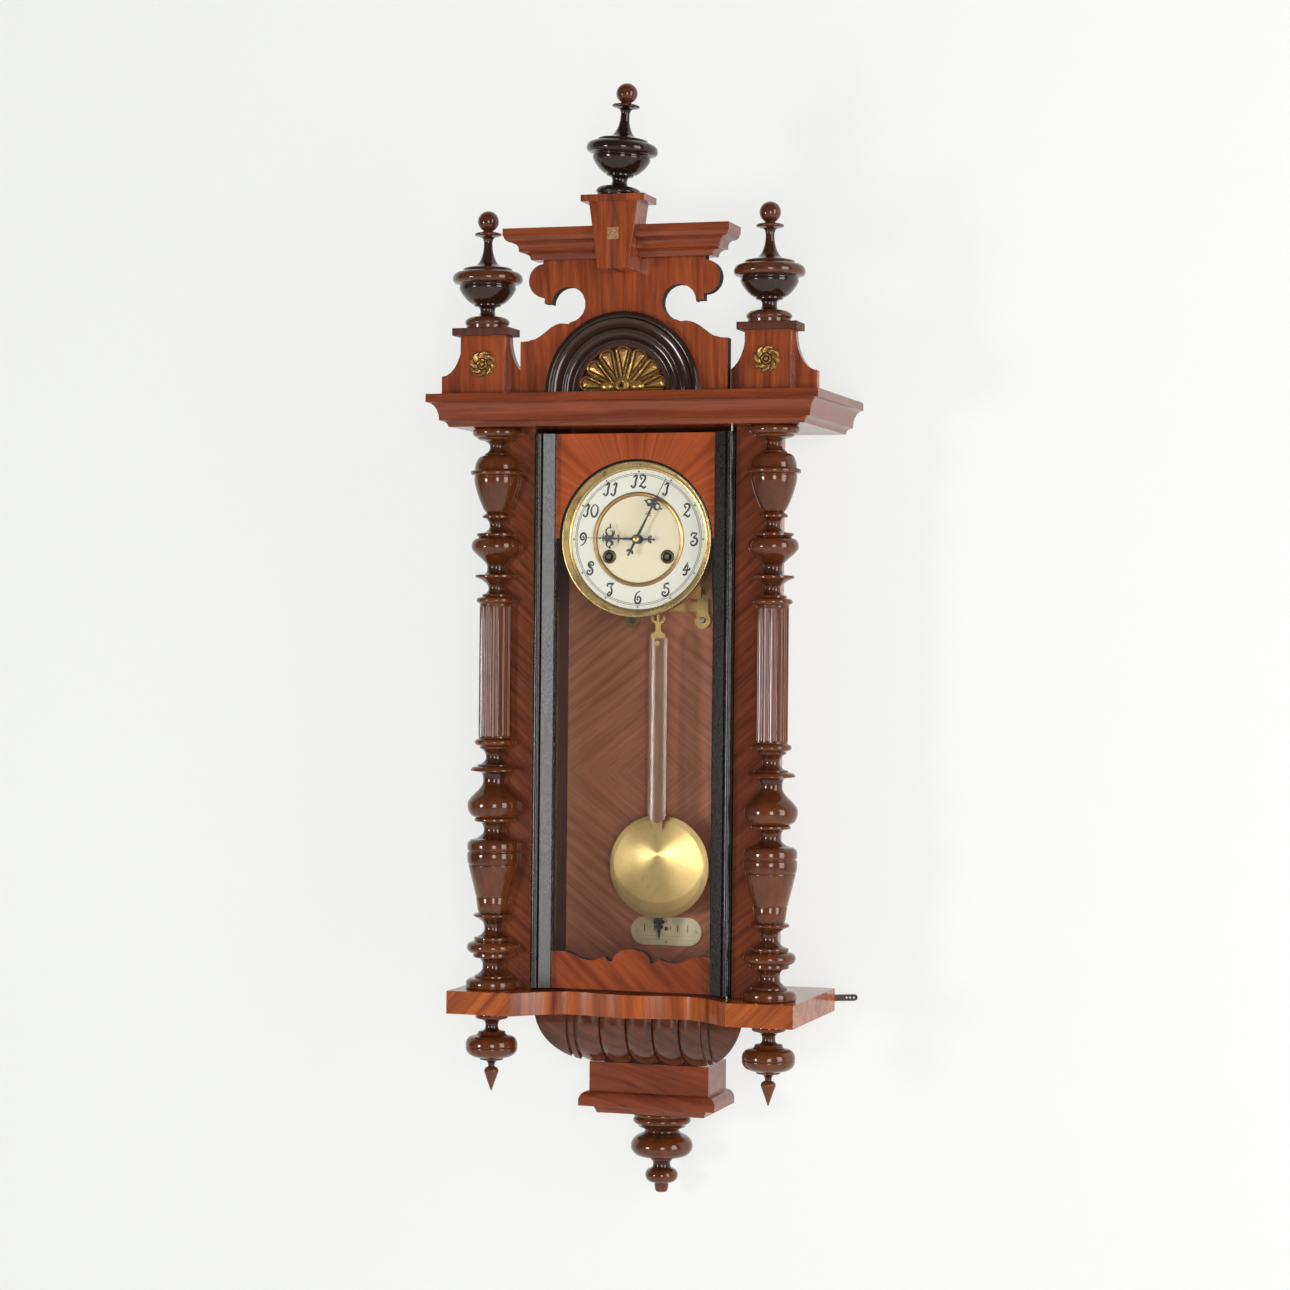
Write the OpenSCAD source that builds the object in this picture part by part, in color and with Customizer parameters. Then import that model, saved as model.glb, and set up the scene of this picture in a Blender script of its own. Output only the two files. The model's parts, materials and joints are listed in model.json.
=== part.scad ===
// Spring-driven wall regulator clock with fluted columns, glazed door and pendulum.
// Units are millimetres. +Z is up and the door faces -Y. The origin lies on the wall
// plane straight behind the centre of the dial.

/* [Case] */
// Half the width over the two front stiles
frame_half = 140; // [130:0.5:148]
// Half the width over the side panels
box_half = 119; // [114:0.5:124]
// Thickness of the side panels
side_thick = 12; // [8:0.5:16]
// Thickness of the backboard
back_thick = 12; // [10:0.5:16]
// Height of the case roof above the dial centre
roof_z = 109.9; // [105:0.1:120]
// Depth of the case floor below the dial centre
floor_z = 449.6; // [440:0.1:470]
// Distance from the wall to the front of the stiles
frame_out = 131; // [128:0.5:134]
// Thickness of the stiles
frame_thick = 20; // [14:0.5:24]
// Half the width of the door opening
door_gap_half = 103.7; // [103.5:0.1:105]

/* [Base board] */
// Half the width of the base board
base_half = 177.4; // [172:0.1:190]
// Depth of the base board at the corner blocks
base_out = 174; // [168:0.5:184]
// Thickness of the base board
base_thick = 22.8; // [16:0.2:30]
// Half the width where the corner blocks end
block_half = 110; // [106:0.5:116]
// Depth at the two hollows of the serpentine front
hollow_out = 135; // [133:0.5:142]
// Depth at the middle of the serpentine front
belly_out = 145.6; // [140:0.1:156]

/* [Door] */
// Half the width of the door
door_half = 103.2; // [102:0.1:103.3]
// Top of the door above the dial centre
door_top = 104.9; // [100:0.1:106]
// Bottom of the door below the dial centre
door_low = 447.4; // [440:0.1:448]
// Distance from the wall to the front of the black bead
door_out = 139; // [137:0.5:142]
// Distance from the wall to the back of the door
door_back = 114.5; // [112:0.5:118]
// Width of the round bead at each side of the door
bead_wide = 8; // [6:0.1:10]
// Width of the sloping flat beside the bead
flat_wide = 11.6; // [8:0.1:14]
// Radius of the arched cut in the top panel
arch_r = 79.2; // [79:0.1:80]
// Lower edge of the top panel
panel_low = 0.5; // [-4:0.1:6]
// Height of the bottom rail at its ends
rail_high = 37; // [30:0.5:44]
// Thickness of the glass
glass_thick = 2; // [1.5:0.1:3]
// Radius of the pins on which the door turns
pivot_r = 1.5; // [1.2:0.1:2]

/* [Turned work] */
// Distance of the column axis from the middle
column_x = 143.3; // [141:0.1:146]
// Distance of the column axis from the wall
column_out = 135; // [134:0.1:138]
// Radius of the fluted shaft
shaft_r = 16; // [14:0.1:17]
// Number of flutes round the shaft
flutes = 14; // [10:1:16]
// Radius of one flute
flute_r = 2.3; // [1.5:0.1:2.8]
// Radius of the widest swellings
bulb_r = 26.6; // [24:0.1:28]
// Radius in the deepest hollows
cove_r = 7.6; // [6:0.1:9]
// Height of a side finial
side_finial_high = 117; // [100:0.5:130]
// Height of the centre finial
centre_finial_high = 109.7; // [95:0.5:125]
// Lean of the centre finial towards the right
centre_finial_lean = 4.5; // [0:0.1:6]
// Length of the side drops
drop_long = 80; // [70:0.5:95]
// Length of the bottom pendant
pendant_long = 82; // [70:0.5:95]
// Distance of the pendant axis from the wall
pendant_out = 27; // [26:0.5:36]
// Shift of the pendant to the right
pendant_shift = 3; // [0:0.1:5]

/* [Cornices and crest] */
// Half the width of the main cornice at its foot
cornice_half = 182; // [178:0.5:190]
// Depth of the main cornice at its foot
cornice_out = 170.5; // [166:0.5:180]
// Overhang of the main cornice
cornice_proj = 18; // [12:0.5:24]
// Height of the main cornice
cornice_high = 31.8; // [26:0.1:40]
// Thickness of the crest board
crest_thick = 12; // [9:0.5:16]
// Distance from the wall to the front of the crest board
crest_out = 173.4; // [168:0.1:176]
// Outer radius of the black arch moulding
arch_out_r = 78.5; // [74:0.1:82]
// Radius of the field that holds the shell
field_r = 48.5; // [46:0.1:52]
// Number of lobes on the shell
shell_lobes = 7; // [5:2:9]
// Half the width of the crest cornice at its foot
top_half = 92.3; // [88:0.1:98]
// Overhang of the crest cornice
top_proj = 22.5; // [16:0.5:26]
// Distance of the pedestals from the middle
pedestal_x = 146; // [142:0.1:150]
// Width of a pedestal block
pedestal_wide = 46.4; // [40:0.2:52]
// Half the width of the keystone at its top
key_top_half = 24.7; // [22:0.1:28]
// Half the width of the keystone at its foot
key_foot_half = 15.4; // [13:0.1:19]

/* [Console] */
// Radius of the swelling front of the console
console_r = 44; // [40:0.5:48]
// Upright height of the console above the swelling
console_drop = 11; // [8:0.5:14]
// Radius of the sawn outline at each end of the console
outline_r = 62.5; // [60:0.5:66]
// Number of gadroons on the console
gadroons = 5; // [3:2:7]
// Half the width of the plinth block
plinth_half = 62.8; // [58:0.1:66]
// Depth of the plinth block
plinth_out = 65.6; // [60:0.1:72]

/* [Dial and hands] */
// Outer radius of the brass bezel
bezel_r = 78; // [76.5:0.1:78.2]
// Radius of the enamel chapter ring
enamel_r = 69.6; // [68:0.1:70]
// Distance of the enamel behind the front of the door
dial_set_back = 22; // [21:0.5:24]
// Length of the minute hand
minute_long = 67; // [60:0.5:69]
// Length of the hour hand
hour_long = 54; // [44:0.5:58]
// Minutes shown by the minute hand
minute_shown = 4.47; // [0:0.01:59]
// Hours shown by the hour hand
hour_shown = 9.05; // [0:0.01:11.99]

/* [Movement] */
// Sideways distance of the winding arbors from the middle
wind_x = 30.2; // [28:0.1:32]
// Drop of the winding arbors below the dial centre
wind_drop = 17.3; // [15:0.1:20]
// Height of the anchor arbor above the dial centre
anchor_z = 44; // [43:0.1:46]
// Height of the escape arbor above the dial centre
escape_z = 27; // [26:0.1:28]
// Distance from the wall to the back of the rear plate
rear_plate_out = 53; // [52:0.5:54]
// Clear distance between the plates
plate_gap = 36; // [36:0.5:38]
// Thickness of the plates
plate_thick = 3; // [2:0.1:3]
// Half the width of the plates
plate_half = 59; // [57:0.5:60]
// Teeth on the great wheels
great_teeth = 80; // [76:1:84]
// Tooth module of the great wheels
great_mod = 0.7; // [0.68:0.01:0.72]
// Radius of the spring barrels
barrel_r = 24; // [20:0.5:25]
// Teeth on the escape wheel
escape_teeth = 32; // [30:1:34]
// Outer radius of the escape wheel
escape_r = 12.5; // [11:0.1:12.5]

/* [Gong and pendulum] */
// Inner radius of the gong coil
gong_in = 15; // [14:0.5:18]
// Outer radius of the gong coil
gong_big = 43; // [38:0.5:45]
// Turns of the gong coil
gong_turns = 4; // [3:1:5]
// Radius of the gong wire
gong_wire = 1.4; // [1:0.1:1.6]
// Height of the gong centre above the dial centre
gong_z = -12; // [-16:0.5:-8]
// Distance of the pendulum rod centre from the wall
pend_out = 45.5; // [45:0.1:46]
// Width of the wooden rod
rod_wide = 19.5; // [16:0.1:22]
// Thickness of the wooden rod
rod_thick = 4.6; // [3.6:0.1:5]
// Distance from the pivot to the bob centre
bob_drop = 374; // [350:0.5:380]
// Radius of the bob
bob_r = 52.4; // [45:0.1:56]
// Angle of the pendulum from plumb, minus is to the left
swing = 0; // [-2.5:0.1:2.5]

/* [Show] */
// Node to draw
// Smoothness of round forms
smooth = 48; // [24:4:96]

/* [Hidden] */
$fn = smooth;
eps = 0.01;
run_gap = 0.05;
screw_r = 1.5;
enamel_out = door_out - dial_set_back;
column_high = roof_z + floor_z;
base_low = -floor_z - base_thick;
cornice_top = roof_z + cornice_high;
crest_back = crest_out - crest_thick;
crest_top = cornice_top + 129.8;
top_high = 29;
top_z = crest_top + top_high;
top_out = crest_out + 9;
cap_z = cornice_top + 58;
cap_thick = 7.4;
pedestal_top = cap_z + cap_thick;
pedestal_deep = 20;
cap_deep = 32;
wing_thick = 10;
finial_out = crest_out - pedestal_deep / 2;
key_out = crest_out + 35.6;
key_foot = crest_top - 13.2;
key_top = top_z + 22.6;
key_cap = 6.6;
key_cap_half = key_top_half + 7.5;
finial_foot = 22.4;
key_cap_deep = 41;
key_cap_mid = key_out + 3.6 - key_cap_deep / 2;
console_mid = plinth_out - 4.6;
console_low = base_low - console_drop - console_r;
plinth_low = console_low - 29.8;
field_half = 69;
gong_out = 27.4;
scale_z = -397.6;
gong_foot = 20;
foot_low = plinth_low - 22.6;
front_plate_out = rear_plate_out + plate_thick + plate_gap;
dial_seat = front_plate_out + plate_thick;
plate_in = rear_plate_out + plate_thick;
pivot_x = door_half - 2.7;
strap_x = base_half - 20;
pivot_out = door_out - 5;
glass_out = door_out - 10;
flat_out = door_out - 2;
flat_in = flat_out - 4.4;
glass_back = glass_out - glass_thick;
panel_thick = 2.5;
rail_thick = 10;
slip_thick = 5;
light_half = door_half - bead_wide - 1 - flat_wide;
seat_half = light_half + 3;
belly_share = 0.53;
groove_at = [66, 74.2];
gadroon_half = 64.5;
saw_lean = 30;
saw_mid = [47.2, 7.5];
lobe_mid = [82, 110.6];
trim_r = 47.3;
centre_r = 43;
drum_r = 74.4;
pin_teeth = 60;
pin_mod = 0.5;
fly_teeth = 8;
second_teeth = 72;
second_mod = 0.6;
second_leaves = 10;
centre_leaves = 12;
centre_teeth = 80;
centre_mod = 0.5;
third_leaves = 8;
third_teeth = 75;
third_mod = 0.5;
escape_leaves = 8;
arbor_r = 1.2;
full_arbor = plate_gap + 2 * plate_thick;
rod_top = anchor_z + 98;
rod_low = bob_drop - bob_r + 7.4;
great_dist = great_mod * (great_teeth + second_leaves) / 2;
second_dist = second_mod * (second_teeth + centre_leaves) / 2;
third_dist = centre_mod * (centre_teeth + third_leaves) / 2;
escape_dist = third_mod * (third_teeth + escape_leaves) / 2;
fly_dist = pin_mod * (pin_teeth + fly_teeth) / 2;
cannon_teeth = 12;
cannon_mod = 0.5;
minute_teeth = 36;
minute_leaves = 10;
hour_teeth = 40;
hour_mod = 0.48;
minute_at = cannon_mod * (cannon_teeth + minute_teeth) / 2 * [sin(32), cos(32)];
// Point that lies ra from a and rb from b, on the left of the way from a to b
function meet(a, b, ra, rb) = let (d = norm(b - a), u = (b - a) / d,
    k = (ra * ra - rb * rb + d * d) / (2 * d), h = sqrt(ra * ra - k * k))
    a + u * k + [-u[1], u[0]] * h;
centre_at = [0, 0];
going_at = [wind_x, -wind_drop];
strike_at = [-wind_x, -wind_drop];
second_pos = meet(centre_at, going_at, second_dist, great_dist);
escape_at = [0, escape_z];
third_at = meet(centre_at, escape_at, third_dist, escape_dist);
pin_at = strike_at + great_dist * [-sin(22), cos(22)];
fly_at = pin_at + fly_dist * [sin(28), cos(28)];
hammer_at = [-46, 30];
anchor_at = [0, anchor_z];
function bearing(a, b) = atan2(b[1] - a[1], b[0] - a[0]);
// Layers of the train, counted from the inner face of the rear plate
centre_layer = plate_in + 1.2;
third_layer = plate_in + 5;
escape_layer = plate_in + 10;
drum_layer = plate_in + 8.5;
drum_deep = 16.5;
great_layer = drum_layer + drum_deep;
great_thick = 2.5;
second_layer = great_layer + great_thick + 2.3;
ear_x = 37.6;
ear_z = -79;

// Half-round or hollow stretch of a turned outline from a to b, s outwards
function swell(a, b, s, n = 7) = [for (i = [0:n]) let (u = i / n)
    (a + b) / 2 - (b - a) / 2 * cos(180 * u)
    + [(b - a)[1], -(b - a)[0]] / max(norm(b - a), eps) * s * sin(180 * u)];
// Round stretch about c from angle p to angle q, measured from straight up
function round_arc(c, r, p, q, n = 8) = [for (i = [0:n]) let (u = p + (q - p) * i / n)
    c + r * [sin(u), -cos(u)]];
// Quarter sweep that leaves a sideways and arrives at b upright
function flare(a, b, n = 5) = [for (i = [0:n]) let (u = 90 * i / n)
    [a[0] + (b[0] - a[0]) * sin(u), a[1] + (b[1] - a[1]) * (1 - cos(u))]];
// Quarter sweep that leaves a upright and arrives at b sideways
function tuck(a, b, n = 5) = [for (i = [0:n]) let (u = 90 * i / n)
    [a[0] + (b[0] - a[0]) * (1 - cos(u)), a[1] + (b[1] - a[1]) * sin(u)]];
// Turns depths below the top into heights
function below(pts, k = 1) = [for (p = pts) [p[0], -p[1] * k]];
// S-shaped sweep from a to b that is upright at both ends
function ogee(a, b, n = 4) = let (m = (a + b) / 2, t = tuck(a, m, n), f = flare(m, b, n))
    concat([for (i = [0:n - 1]) t[i]], [for (i = [1:n]) f[i]]);
function flip(pts) = [for (i = [len(pts) - 1:-1:0]) pts[i]];
function ring(r, t, h) = [[r, t], [r, t + h]];

// Outline of a full column, radius against depth below its top
function column_outline() = let (c = cove_r, b = bulb_r, s = shaft_r) concat(
    [[0, 0], [b - 4.4, 0]], swell([b - 4, 0.4], [b - 5, 9.2], 2.4, 6),
    tuck([b - 6.4, 9.8], [c + 5.6, 12], 3),
    swell([c + 4, 12.6], [c + 4.4, 25.4], -4.4), ring(c + 4.4, 25.8, 1.4),
    flare([c + 5.8, 27.6], [b - 4, 40.4]), [[b - 0.8, 41.4]], ring(b - 0.2, 42.2, 4.4), [[b - 1, 47.2]],
    swell([b - 4.7, 47.8], [c + 2.2, 84], 3, 9), ring(c + 6.4, 87, 2.6),
    swell([c + 3, 90.2], [c + 6, 103.6], -4.4), ring(b - 6.8, 104.6, 2.8), [[b - 9.4, 108.6]],
    flare([b - 7.4, 110], [b - 1.8, 117.2]), ogee([b - 1.8, 118.6], [c + 1.2, 139], 5),
    swell([c + 1.4, 140], [c + 5, 145.4], -0.8, 4), ring(b - 5.8, 146.2, 3), [[c + 4.2, 152.8]],
    swell([c + 3.4, 153.6], [c + 3.4, 164.6], -3.6), ring(c + 5.4, 165.2, 2.4),
    swell([s + 1, 168.8], [s + 1, 174.2], 2.2, 5), [[s, 175.4], [s - 0.2, 309.4]],
    swell([s + 1, 310.4], [s + 1, 316.4], 2.8, 5), ring(c + 7, 317.6, 2.2),
    swell([c + 4, 320.6], [c + 4.6, 334.8], -4), ring(c + 9, 335.6, 1.4),
    flare([c + 11, 337.6], [b - 3.4, 342.6]), [[c + 6.4, 343.8]],
    swell([c + 4.8, 345], [c + 3.8, 351], -0.6, 3), ogee([c + 3.6, 352], [b - 0.4, 374], 6),
    tuck([b - 0.4, 376.4], [b - 7.4, 388.6], 5), ring(b - 6.4, 389.8, 2.8),
    swell([c + 5, 394], [c + 6, 409], -3.4), flare([c + 10, 410.4], [b - 0.6, 418]),
    [[b - 1.6, 421.6]], swell([b - 1.4, 422.6], [b - 2.4, 435.6], 1.6, 5),
    [[b - 3.4, 436.4], [b - 2.6, 437.4], [c + 9.6, 466.4], [c + 8.8, 467.2], [c + 9.4, 468],
     [c + 8, 480], [c + 6.8, 483.6]], swell([c + 8, 484.4], [c + 8, 489.2], 3.6, 5),
    swell([c + 4, 490.4], [c + 5, 508], -4), ring(c + 10.4, 508.8, 2.6),
    [[c + 11.4, 512.4]], swell([b - 7, 513.2], [b - 7, 525.2], 5.6, 7), ring(c + 11.6, 526.2, 3),
    swell([c + 5, 530.2], [c + 5, 546], -3.8), ring(c + 10.4, 546.8, 1.8),
    flare([b - 5, 549.6], [b - 0.2, 554.4]), [[b - 0.2, column_high], [0, column_high]]);

module turned(outline, k = 1) {
    rotate_extrude() polygon(below(outline, k));
}

// Column body with flutes, before it is fitted to the stile
module full_column() {
    difference() {
        turned(column_outline());
        for (i = [0:flutes - 1]) rotate([0, 0, 360 / flutes * (i + 0.5)])
            translate([shaft_r + 0.7, 0, -308]) cylinder(r = flute_r, h = 131, $fn = 16);
    }
}

module column(side) {
    translate([side * column_x, -column_out, roof_z]) difference() {
        full_column();
        // rebate that takes the outer corner of the stile
        translate([side > 0 ? -40 - (column_x - frame_half) : column_x - frame_half,
            column_out - frame_out, -column_high - 1]) cube([40, 40, column_high + 2]);
    }
}

// Outline of a finial from the top of its ball down to its foot
function finial_outline(f) = concat(
    round_arc([0, 10.4], 10.4, 0, 152, 10), [[5.6, 20.8]],
    swell([9.6, 21.6], [9.6, 25.4], 4, 5), flare([8.2, 26], [3.8, 36], 5),
    tuck([3.9, 39], [12.4, 55], 6), [[24, 57.2], [24.6, 60]],
    flare([28, 60.8], [34.8, 67.4], 4), tuck([34.8, 68.4], [29.4, 73], 3), [[27.8, 74]],
    swell([27.8, 75.4], [13, 92.6], 2.6, 7), ring(13.2, 93, 1.6),
    swell([9.4, 95.6], [10, 104.4], -2.4, 5), flare([14, 105.4], [f, 111.6], 5),
    [[f - 1.6, 113.6], [f - 1.6, 117], [0, 117]]);

module finial(f, high) {
    k = high / 117;
    translate([0, 0, high]) turned(finial_outline(f), k);
}

function drop_outline() = concat([[0, 0], [15, 0], [16.5, 1.6], [16.5, 6.4]],
    flare([15, 7.4], [6.4, 13.6], 5), tuck([6.4, 15], [9.6, 19.4], 3),
    [[13.4, 20], [14.2, 22.4], [15.6, 24]],
    flare([18, 24.4], [26, 32.6], 5), [[26.2, 34.2], [25.2, 34.8], [26, 35.4]],
    tuck([26, 36.4], [14, 46], 5), ring(12, 46.6, 1.6),
    flare([9, 49], [3.2, 54.4], 4), flare([3.4, 55.6], [7.4, 60], 4), [[7, 61.4], [0.6, 79.2], [0, 80]]);

function pendant_outline() = concat([[0, 0]], swell([28, 0], [28, 4.6], 1.6, 4),
    swell([27.4, 5.6], [27.4, 11.6], 2.2, 4), [[25.6, 13], [24, 15.4]],
    swell([20, 16.4], [20, 22], -2.4, 4), swell([22.6, 23.4], [15.4, 45], 12.8, 10),
    ring(10.8, 46.6, 3), swell([9.6, 50.4], [10, 57.2], -1, 4),
    swell([11.6, 58], [8.4, 72], 6.6, 7), [[7.2, 73.6]], tuck([7.2, 74.4], [4.6, 82], 3), [[0, 82]]);

// Moulded block with mitred returns; prof lists [overhang, height] from top to foot
module mitred(half, out, back, prof) {
    intersection() {
        translate([-half - 60, 0, 0]) rotate([90, 0, 90]) linear_extrude(height = 2 * half + 120)
            polygon(concat([[-back, prof[0][1]]], [for (p = prof) [-out - p[0], p[1]]],
                [[-back, prof[len(prof) - 1][1]]]));
        translate([0, -back + eps, 0]) rotate([90, 0, 0]) linear_extrude(height = out + 80)
            polygon(concat([for (p = prof) [half + p[0], p[1]]],
                flip([for (p = prof) [-half - p[0], p[1]]])));
    }
}

function cornice_section() = let (p = cornice_proj, z = cornice_top) concat(
    [[p, z], [p, z - 8.2]], flare([p - 0.6, z - 8.2], [p * 0.42, z - 24.6]),
    [[p * 0.41, z - 25.8]], flare([p * 0.39, z - 25.8], [0.4, roof_z + 0.8], 4), [[0, roof_z]]);

function top_section() = let (p = top_proj, z = top_z) concat(
    [[p, z], [p, z - 7.4]], ogee([p - 0.8, z - 7.4], [p * 0.45, z - 18.6]),
    [[p * 0.44, z - 21.6]], flare([p * 0.42, z - 21.6], [0.6, crest_top + 0.8], 4), [[0, crest_top]]);

// Front edge of the base board from right to left: hollows beside a belly
function serpentine() = let (n = 32, h = belly_share) [for (i = [0:n])
    let (x = block_half - 2 * block_half * i / n, u = abs(x) / block_half) [x, -(hollow_out + (u > h
        ? (base_out - hollow_out) * pow((u - h) / (1 - h), 1.6)
        : (belly_out - hollow_out) * (1 + cos(180 * u / h)) / 2))]];

module base_board() {
    color("sienna") difference() {
        translate([0, 0, base_low]) linear_extrude(height = base_thick)
            polygon(concat([[-base_half, 0], [-base_half, -base_out]],
                flip(serpentine()), [[base_half, -base_out], [base_half, 0]]));
        // seat and bore for the lower door pivot
        translate([pivot_x - 7, -pivot_out - 7, -floor_z - 2]) cube([14, 14, 3]);
        translate([pivot_x, -pivot_out, -floor_z - 10]) cylinder(r = pivot_r + run_gap, h = 12);
        // dowel bores of the two drops
        for (s = [-1, 1]) translate([s * column_x, -column_out, base_low - 1]) cylinder(r = 4, h = 13);
        // open recess in which the steady strap turns, and its screw hole
        translate([strap_x - 36, -4.6, base_low - 1]) cube([base_half - strap_x + 40, 5, base_thick + 2]);
        translate([strap_x, 1, base_low + 12]) rotate([90, 0, 0]) cylinder(r = screw_r, h = 16);
    }
}

module backboard() {
    color("sienna") difference() {
        translate([-box_half, -back_thick, -floor_z]) cube([2 * box_half, back_thick, column_high]);
        // seat of the hanger plate with room for the head of the wall hook
        translate([-20, -2, 66]) cube([40, 3, 34]);
        translate([-8, -9, 72]) cube([16, 8, 24]);
        for (s = [-1, 1]) translate([s * 15, -1, 70]) rotate([90, 0, 0]) cylinder(r = screw_r, h = 10);
        for (s = [-1, 1], z = [ear_z, 60]) translate([s * ear_x, 1, z]) rotate([90, 0, 0])
            cylinder(r = screw_r, h = 20);
    }
}

// Each side of the case: a panel glued behind a wider front stile
module case_sides() {
    color("sienna") for (s = [-1, 1]) union() {
        translate([s > 0 ? box_half - side_thick : -box_half, -(frame_out - frame_thick), -floor_z])
            cube([side_thick, frame_out - frame_thick - back_thick, column_high]);
        translate([s > 0 ? door_gap_half : -frame_half, -frame_out, -floor_z])
            cube([frame_half - door_gap_half, frame_thick, column_high]);
    }
}

module columns() {
    color("saddlebrown") {
        column(-1);
        column(1);
    }
}

module main_cornice() {
    color("sienna") difference() {
        mitred(cornice_half, cornice_out, 0, cornice_section());
        translate([pivot_x - 7, -pivot_out - 7, roof_z - 1]) cube([14, 14, 3]);
        translate([pivot_x, -pivot_out, roof_z - 1]) cylinder(r = pivot_r + run_gap, h = 9);
    }
}

// Pivot plates let into the base board and the cornice
module pivot_sockets() {
    color("goldenrod") for (z = [-floor_z - 2, roof_z]) translate([pivot_x, -pivot_out, z]) difference() {
        translate([-7, -7, 0]) cube([14, 14, 2]);
        translate([0, 0, -1]) cylinder(r = pivot_r + run_gap, h = 4);
    }
}

module door_pivots() {
    color("goldenrod") for (k = [0, 1]) {
        z = k == 0 ? -door_low : door_top;
        translate([pivot_x, -pivot_out, k == 0 ? -floor_z - 7 : door_top - 6])
            cylinder(r = pivot_r, h = k == 0 ? floor_z + 7 - door_low + 6 : roof_z + 6 - door_top + 6);
    }
}

// Section of a door stile: bead, quirk, sloping flat and the rebate of the glass
module stile_section() {
    x1 = door_half;
    x2 = door_half - bead_wide;
    x3 = light_half;
    polygon(concat([[x1, -door_back], [x1, -door_out + 4]],
        [for (i = [1:7]) [(x1 + x2) / 2 + bead_wide / 2 * cos(i * 22.5),
            -door_out + 4 - 4 * sin(i * 22.5)]],
        [[x2, -door_out + 4], [x2 - 1, -door_out + 4.4], [x2 - 1, -flat_out], [x3, -flat_in],
         [x3, -glass_out], [seat_half, -glass_out], [seat_half, -door_back]]));
}

module door_stile(side) {
    translate([0, 0, -door_low]) difference() {
        linear_extrude(height = door_low + door_top) scale([side, 1]) stile_section();
        if (side > 0) for (z = [-1, door_low + door_top - 6]) translate([pivot_x, -pivot_out, z])
            cylinder(r = pivot_r, h = 7);
    }
}

module door_stile_left() { color([0.08, 0.07, 0.06]) door_stile(-1); }
module door_stile_right() { color([0.08, 0.07, 0.06]) door_stile(1); }

// Panel above the dial, behind the glass, with its arched lower edge
module door_top_panel() {
    color("chocolate") translate([0, panel_thick - glass_back, 0]) rotate([90, 0, 0])
        linear_extrude(height = panel_thick) difference() {
            translate([-seat_half, panel_low]) square([2 * seat_half, door_top - panel_low]);
            circle(r = arch_r, $fn = 96);
        }
}

// Upper edge of the bottom rail, from its end to its middle: hollow, peak, notch and dome
function rail_edge(n = 8) = let (z = -door_low + rail_high) concat([[seat_half, z]],
    [for (i = [0:n]) let (u = i / n) [72 - 27.6 * u, z - 4 * (1 - cos(180 * u))]],
    [for (i = [1:n]) let (u = i / n) [44.4 - 17.2 * u, z - 8 + 4.2 * (1 - cos(90 * u))]],
    tuck([27.2, z - 3.9], [19.8, z - 8.9], 3),
    [for (i = [1:n]) let (u = 90 * i / n) [19.8 * cos(u), z - 8.9 + 13.2 * sin(u)]]);

module door_bottom_rail() {
    e = rail_edge();
    color("chocolate") translate([0, rail_thick - glass_back, 0]) rotate([90, 0, 0])
        linear_extrude(height = rail_thick) polygon(concat([[seat_half, -door_low]], e,
            flip([for (p = e) if (p[0] > eps) [-p[0], p[1]]]), [[-seat_half, -door_low]]));
}

module door_glass() {
    color([0.8, 0.9, 0.9, 0.3]) translate([-seat_half, -glass_out, -door_low + 6])
        cube([2 * seat_half, glass_thick, door_low + door_top - 12]);
}

// Upright slips that hold the glass from behind, between the rail and the panel
module glass_slips() {
    foot = -door_low + rail_high;
    color("black") for (s = [-1, 1]) translate([s > 0 ? seat_half - slip_thick : -seat_half,
        -glass_back, foot]) cube([slip_thick, slip_thick, panel_low - foot]);
}

module side_drops() {
    color("saddlebrown") for (s = [-1, 1]) translate([s * column_x, -column_out, base_low]) union() {
        turned(drop_outline(), drop_long / 80);
        translate([0, 0, -1]) cylinder(r = 4, h = 12.5);
    }
}

// Sweeps a section (radius from the bulge axis, sideways) down the face and under the bulge
module bulge(x, pts) {
    translate([x, -console_mid, base_low - console_drop]) {
        rotate([0, 90, 0]) rotate([0, 0, -90]) rotate_extrude(angle = 90, $fn = 72) polygon(pts);
        linear_extrude(height = console_drop) rotate([0, 0, -90]) polygon(pts);
    }
}

function strip(w, r1, r2) = [[r1, -w / 2], [r2, -w / 2], [r2, w / 2], [r1, w / 2]];
// Distance from the wall to the face of the bulge, z below the base board
function bulge_out(z) = console_mid + sqrt(max(0, pow(console_r, 2) - pow(max(0, z - console_drop), 2)));

// Prism whose end is sawn to the round outline and falls back towards the wall
module console_saw() {
    n = 12;
    a0 = asin(saw_mid[1] / outline_r);
    rotate([0, 0, saw_lean]) translate([0, 200, 0]) rotate([90, 0, 0]) linear_extrude(height = 500)
        polygon(concat([[-250, base_low + 1]], [for (i = [-1:n]) let (a = a0 + (90 - a0) * max(i, 0) / n,
            x = saw_mid[0] + outline_r * cos(a), z = outline_r * sin(a) - saw_mid[1])
            [x * cos(saw_lean) - bulge_out(z) * sin(saw_lean), i < 0 ? base_low + 1 : base_low - z]],
            [[-250, base_low - console_drop - console_r]]));
}

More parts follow.
